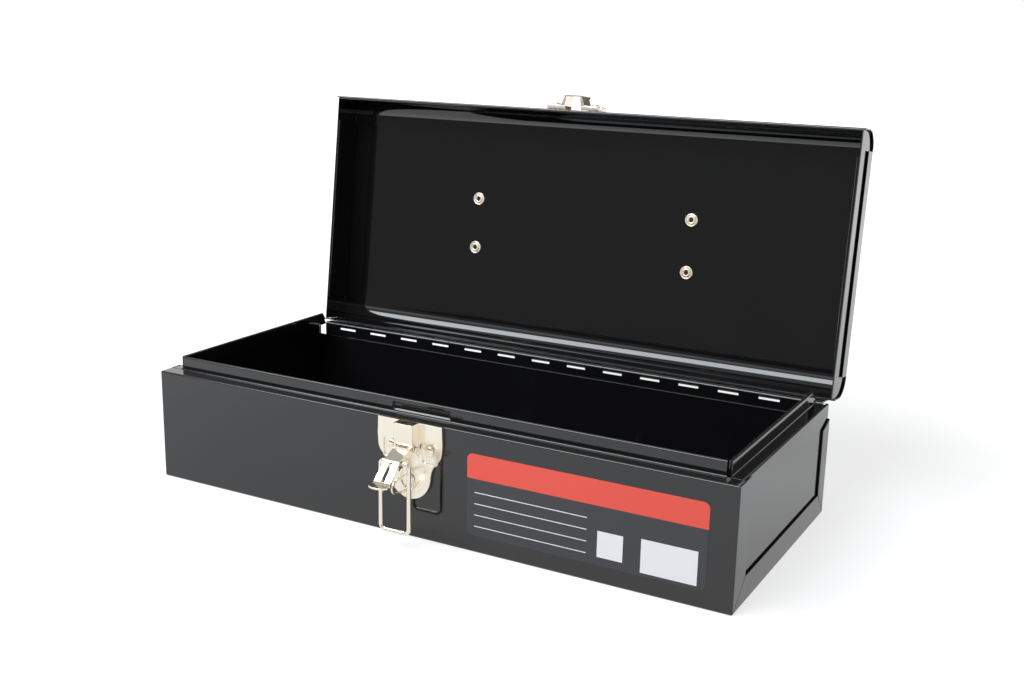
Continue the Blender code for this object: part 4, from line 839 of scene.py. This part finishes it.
class TOOLBOX_OT_stage(bpy.types.Operator):
    """The white floor, studio walls, softboxes and camera"""

    bl_idname = "toolbox.stage"
    bl_label = "Stage"

    def execute(self, context):
        values = context.scene.toolbox_stage
        context.scene.view_settings.view_transform = "Standard"
        studio_world(values.surround)
        reach, drop = 6.0, -0.2 * MM
        sides = ((-reach, -reach), (reach, -reach), (reach, reach), (-reach, reach))
        stage_plane("floor", [(x, y, drop) for x, y in sides], floor_material())
        card(
            "low_card",
            ((-1.6, -1.21, 0.0), (1.8, -1.21, 0.0), (1.8, -1.21, 0.45), (-1.6, -1.21, 0.45)),
            values.low_card,
        )
        card(
            "rear_card",
            ((0.25, 2.0, 0.42), (4.0, 2.0, 0.42), (4.0, 2.0, 4.0), (0.25, 2.0, 4.0)),
            values.rear_card,
        )
        card(
            "ceiling_card",
            ((-3.0, -3.0, 1.8), (3.0, -3.0, 1.8), (3.0, 1.1, 1.8), (-3.0, 1.1, 1.8)),
            values.ceiling_card,
        )
        softbox(
            "overhead_softbox", place=(-0.45, -0.63, 1.04), target=(-0.2, -0.09, 0),
            width=1.1, depth=0.6, power=values.overhead_power,
        )
        front = softbox(
            "front_softbox", place=(-0.6, -1.2, 0.67), target=(-0.6, 0.0, 0.67),
            width=1.6, depth=0.48, power=values.front_power,
        )
        front.visible_glossy = False
        softbox(
            "side_softbox", place=(1.2, 0.7, 0.7), target=(0.1, 0.1, 0),
            width=0.8, depth=0.8, power=values.side_power,
        )
        context.scene.camera = self.photo_camera()
        return {"FINISHED"}

    def photo_camera(self):
        """The camera, with the lens, place and turn worked out from the photograph."""
        lens = bpy.data.cameras.new("photo_camera")
        lens.sensor_width = 36.0
        lens.lens = 44.693
        lens.shift_x = -0.00478
        lens.shift_y = -0.0017
        lens.clip_start = 0.02
        lens.clip_end = 40.0
        camera = bpy.data.objects.new("photo_camera", lens)
        bpy.context.scene.collection.objects.link(camera)
        place = Vector((0.347356, -0.606296, 0.272017))
        azimuth = math.radians(-28.4994)
        elevation = math.radians(14.3731)
        roll = math.radians(1.2831)
        ahead = Vector((
            math.sin(azimuth) * math.cos(elevation),
            math.cos(azimuth) * math.cos(elevation),
            -math.sin(elevation),
        ))
        level = Vector((math.cos(azimuth), -math.sin(azimuth), 0))
        upright = level.cross(ahead)
        right = math.cos(roll) * level + math.sin(roll) * upright
        above = math.cos(roll) * upright - math.sin(roll) * level
        camera.matrix_world = Matrix((
            (right.x, above.x, -ahead.x, place.x),
            (right.y, above.y, -ahead.y, place.y),
            (right.z, above.z, -ahead.z, place.z),
            (0, 0, 0, 1),
        ))
        return camera


class TOOLBOX_PT_panel(bpy.types.Panel):
    """The steps that dress the toolbox, in order"""

    bl_idname = "TOOLBOX_PT_panel"
    bl_label = "Toolbox"
    bl_space_type = "VIEW_3D"
    bl_region_type = "UI"
    bl_category = "Toolbox"

    def draw(self, context):
        for step in STEPS:
            self.layout.operator(step.bl_idname)
        for group in ("toolbox_sizes", "toolbox_finishes", "toolbox_stage"):
            values = getattr(context.scene, group)
            for key in values.__annotations__:
                self.layout.prop(values, key)


GROUPS = {
    "toolbox_sizes": ToolboxSizes,
    "toolbox_finishes": ToolboxFinishes,
    "toolbox_stage": ToolboxStage,
}
STEPS = (
    TOOLBOX_OT_body, TOOLBOX_OT_lid, TOOLBOX_OT_hinge, TOOLBOX_OT_latch, TOOLBOX_OT_keeper,
    TOOLBOX_OT_handle, TOOLBOX_OT_label, TOOLBOX_OT_stage,
)


def register():
    """Register the values, the steps and the panel."""
    for name, group in GROUPS.items():
        bpy.utils.register_class(group)
        setattr(bpy.types.Scene, name, PointerProperty(type=group))
    for step in (*STEPS, TOOLBOX_PT_panel):
        bpy.utils.register_class(step)


def unregister():
    """Take back what register did, last first."""
    for step in (TOOLBOX_PT_panel, *reversed(STEPS)):
        bpy.utils.unregister_class(step)
    for name, group in GROUPS.items():
        delattr(bpy.types.Scene, name)
        bpy.utils.unregister_class(group)


def main():
    """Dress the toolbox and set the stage."""
    register()
    bpy.ops.toolbox.body()
    bpy.ops.toolbox.lid()
    bpy.ops.toolbox.hinge()
    bpy.ops.toolbox.latch()
    bpy.ops.toolbox.keeper()
    bpy.ops.toolbox.handle()
    bpy.ops.toolbox.label()
    bpy.ops.toolbox.stage()


if __name__ == "__main__":
    main()
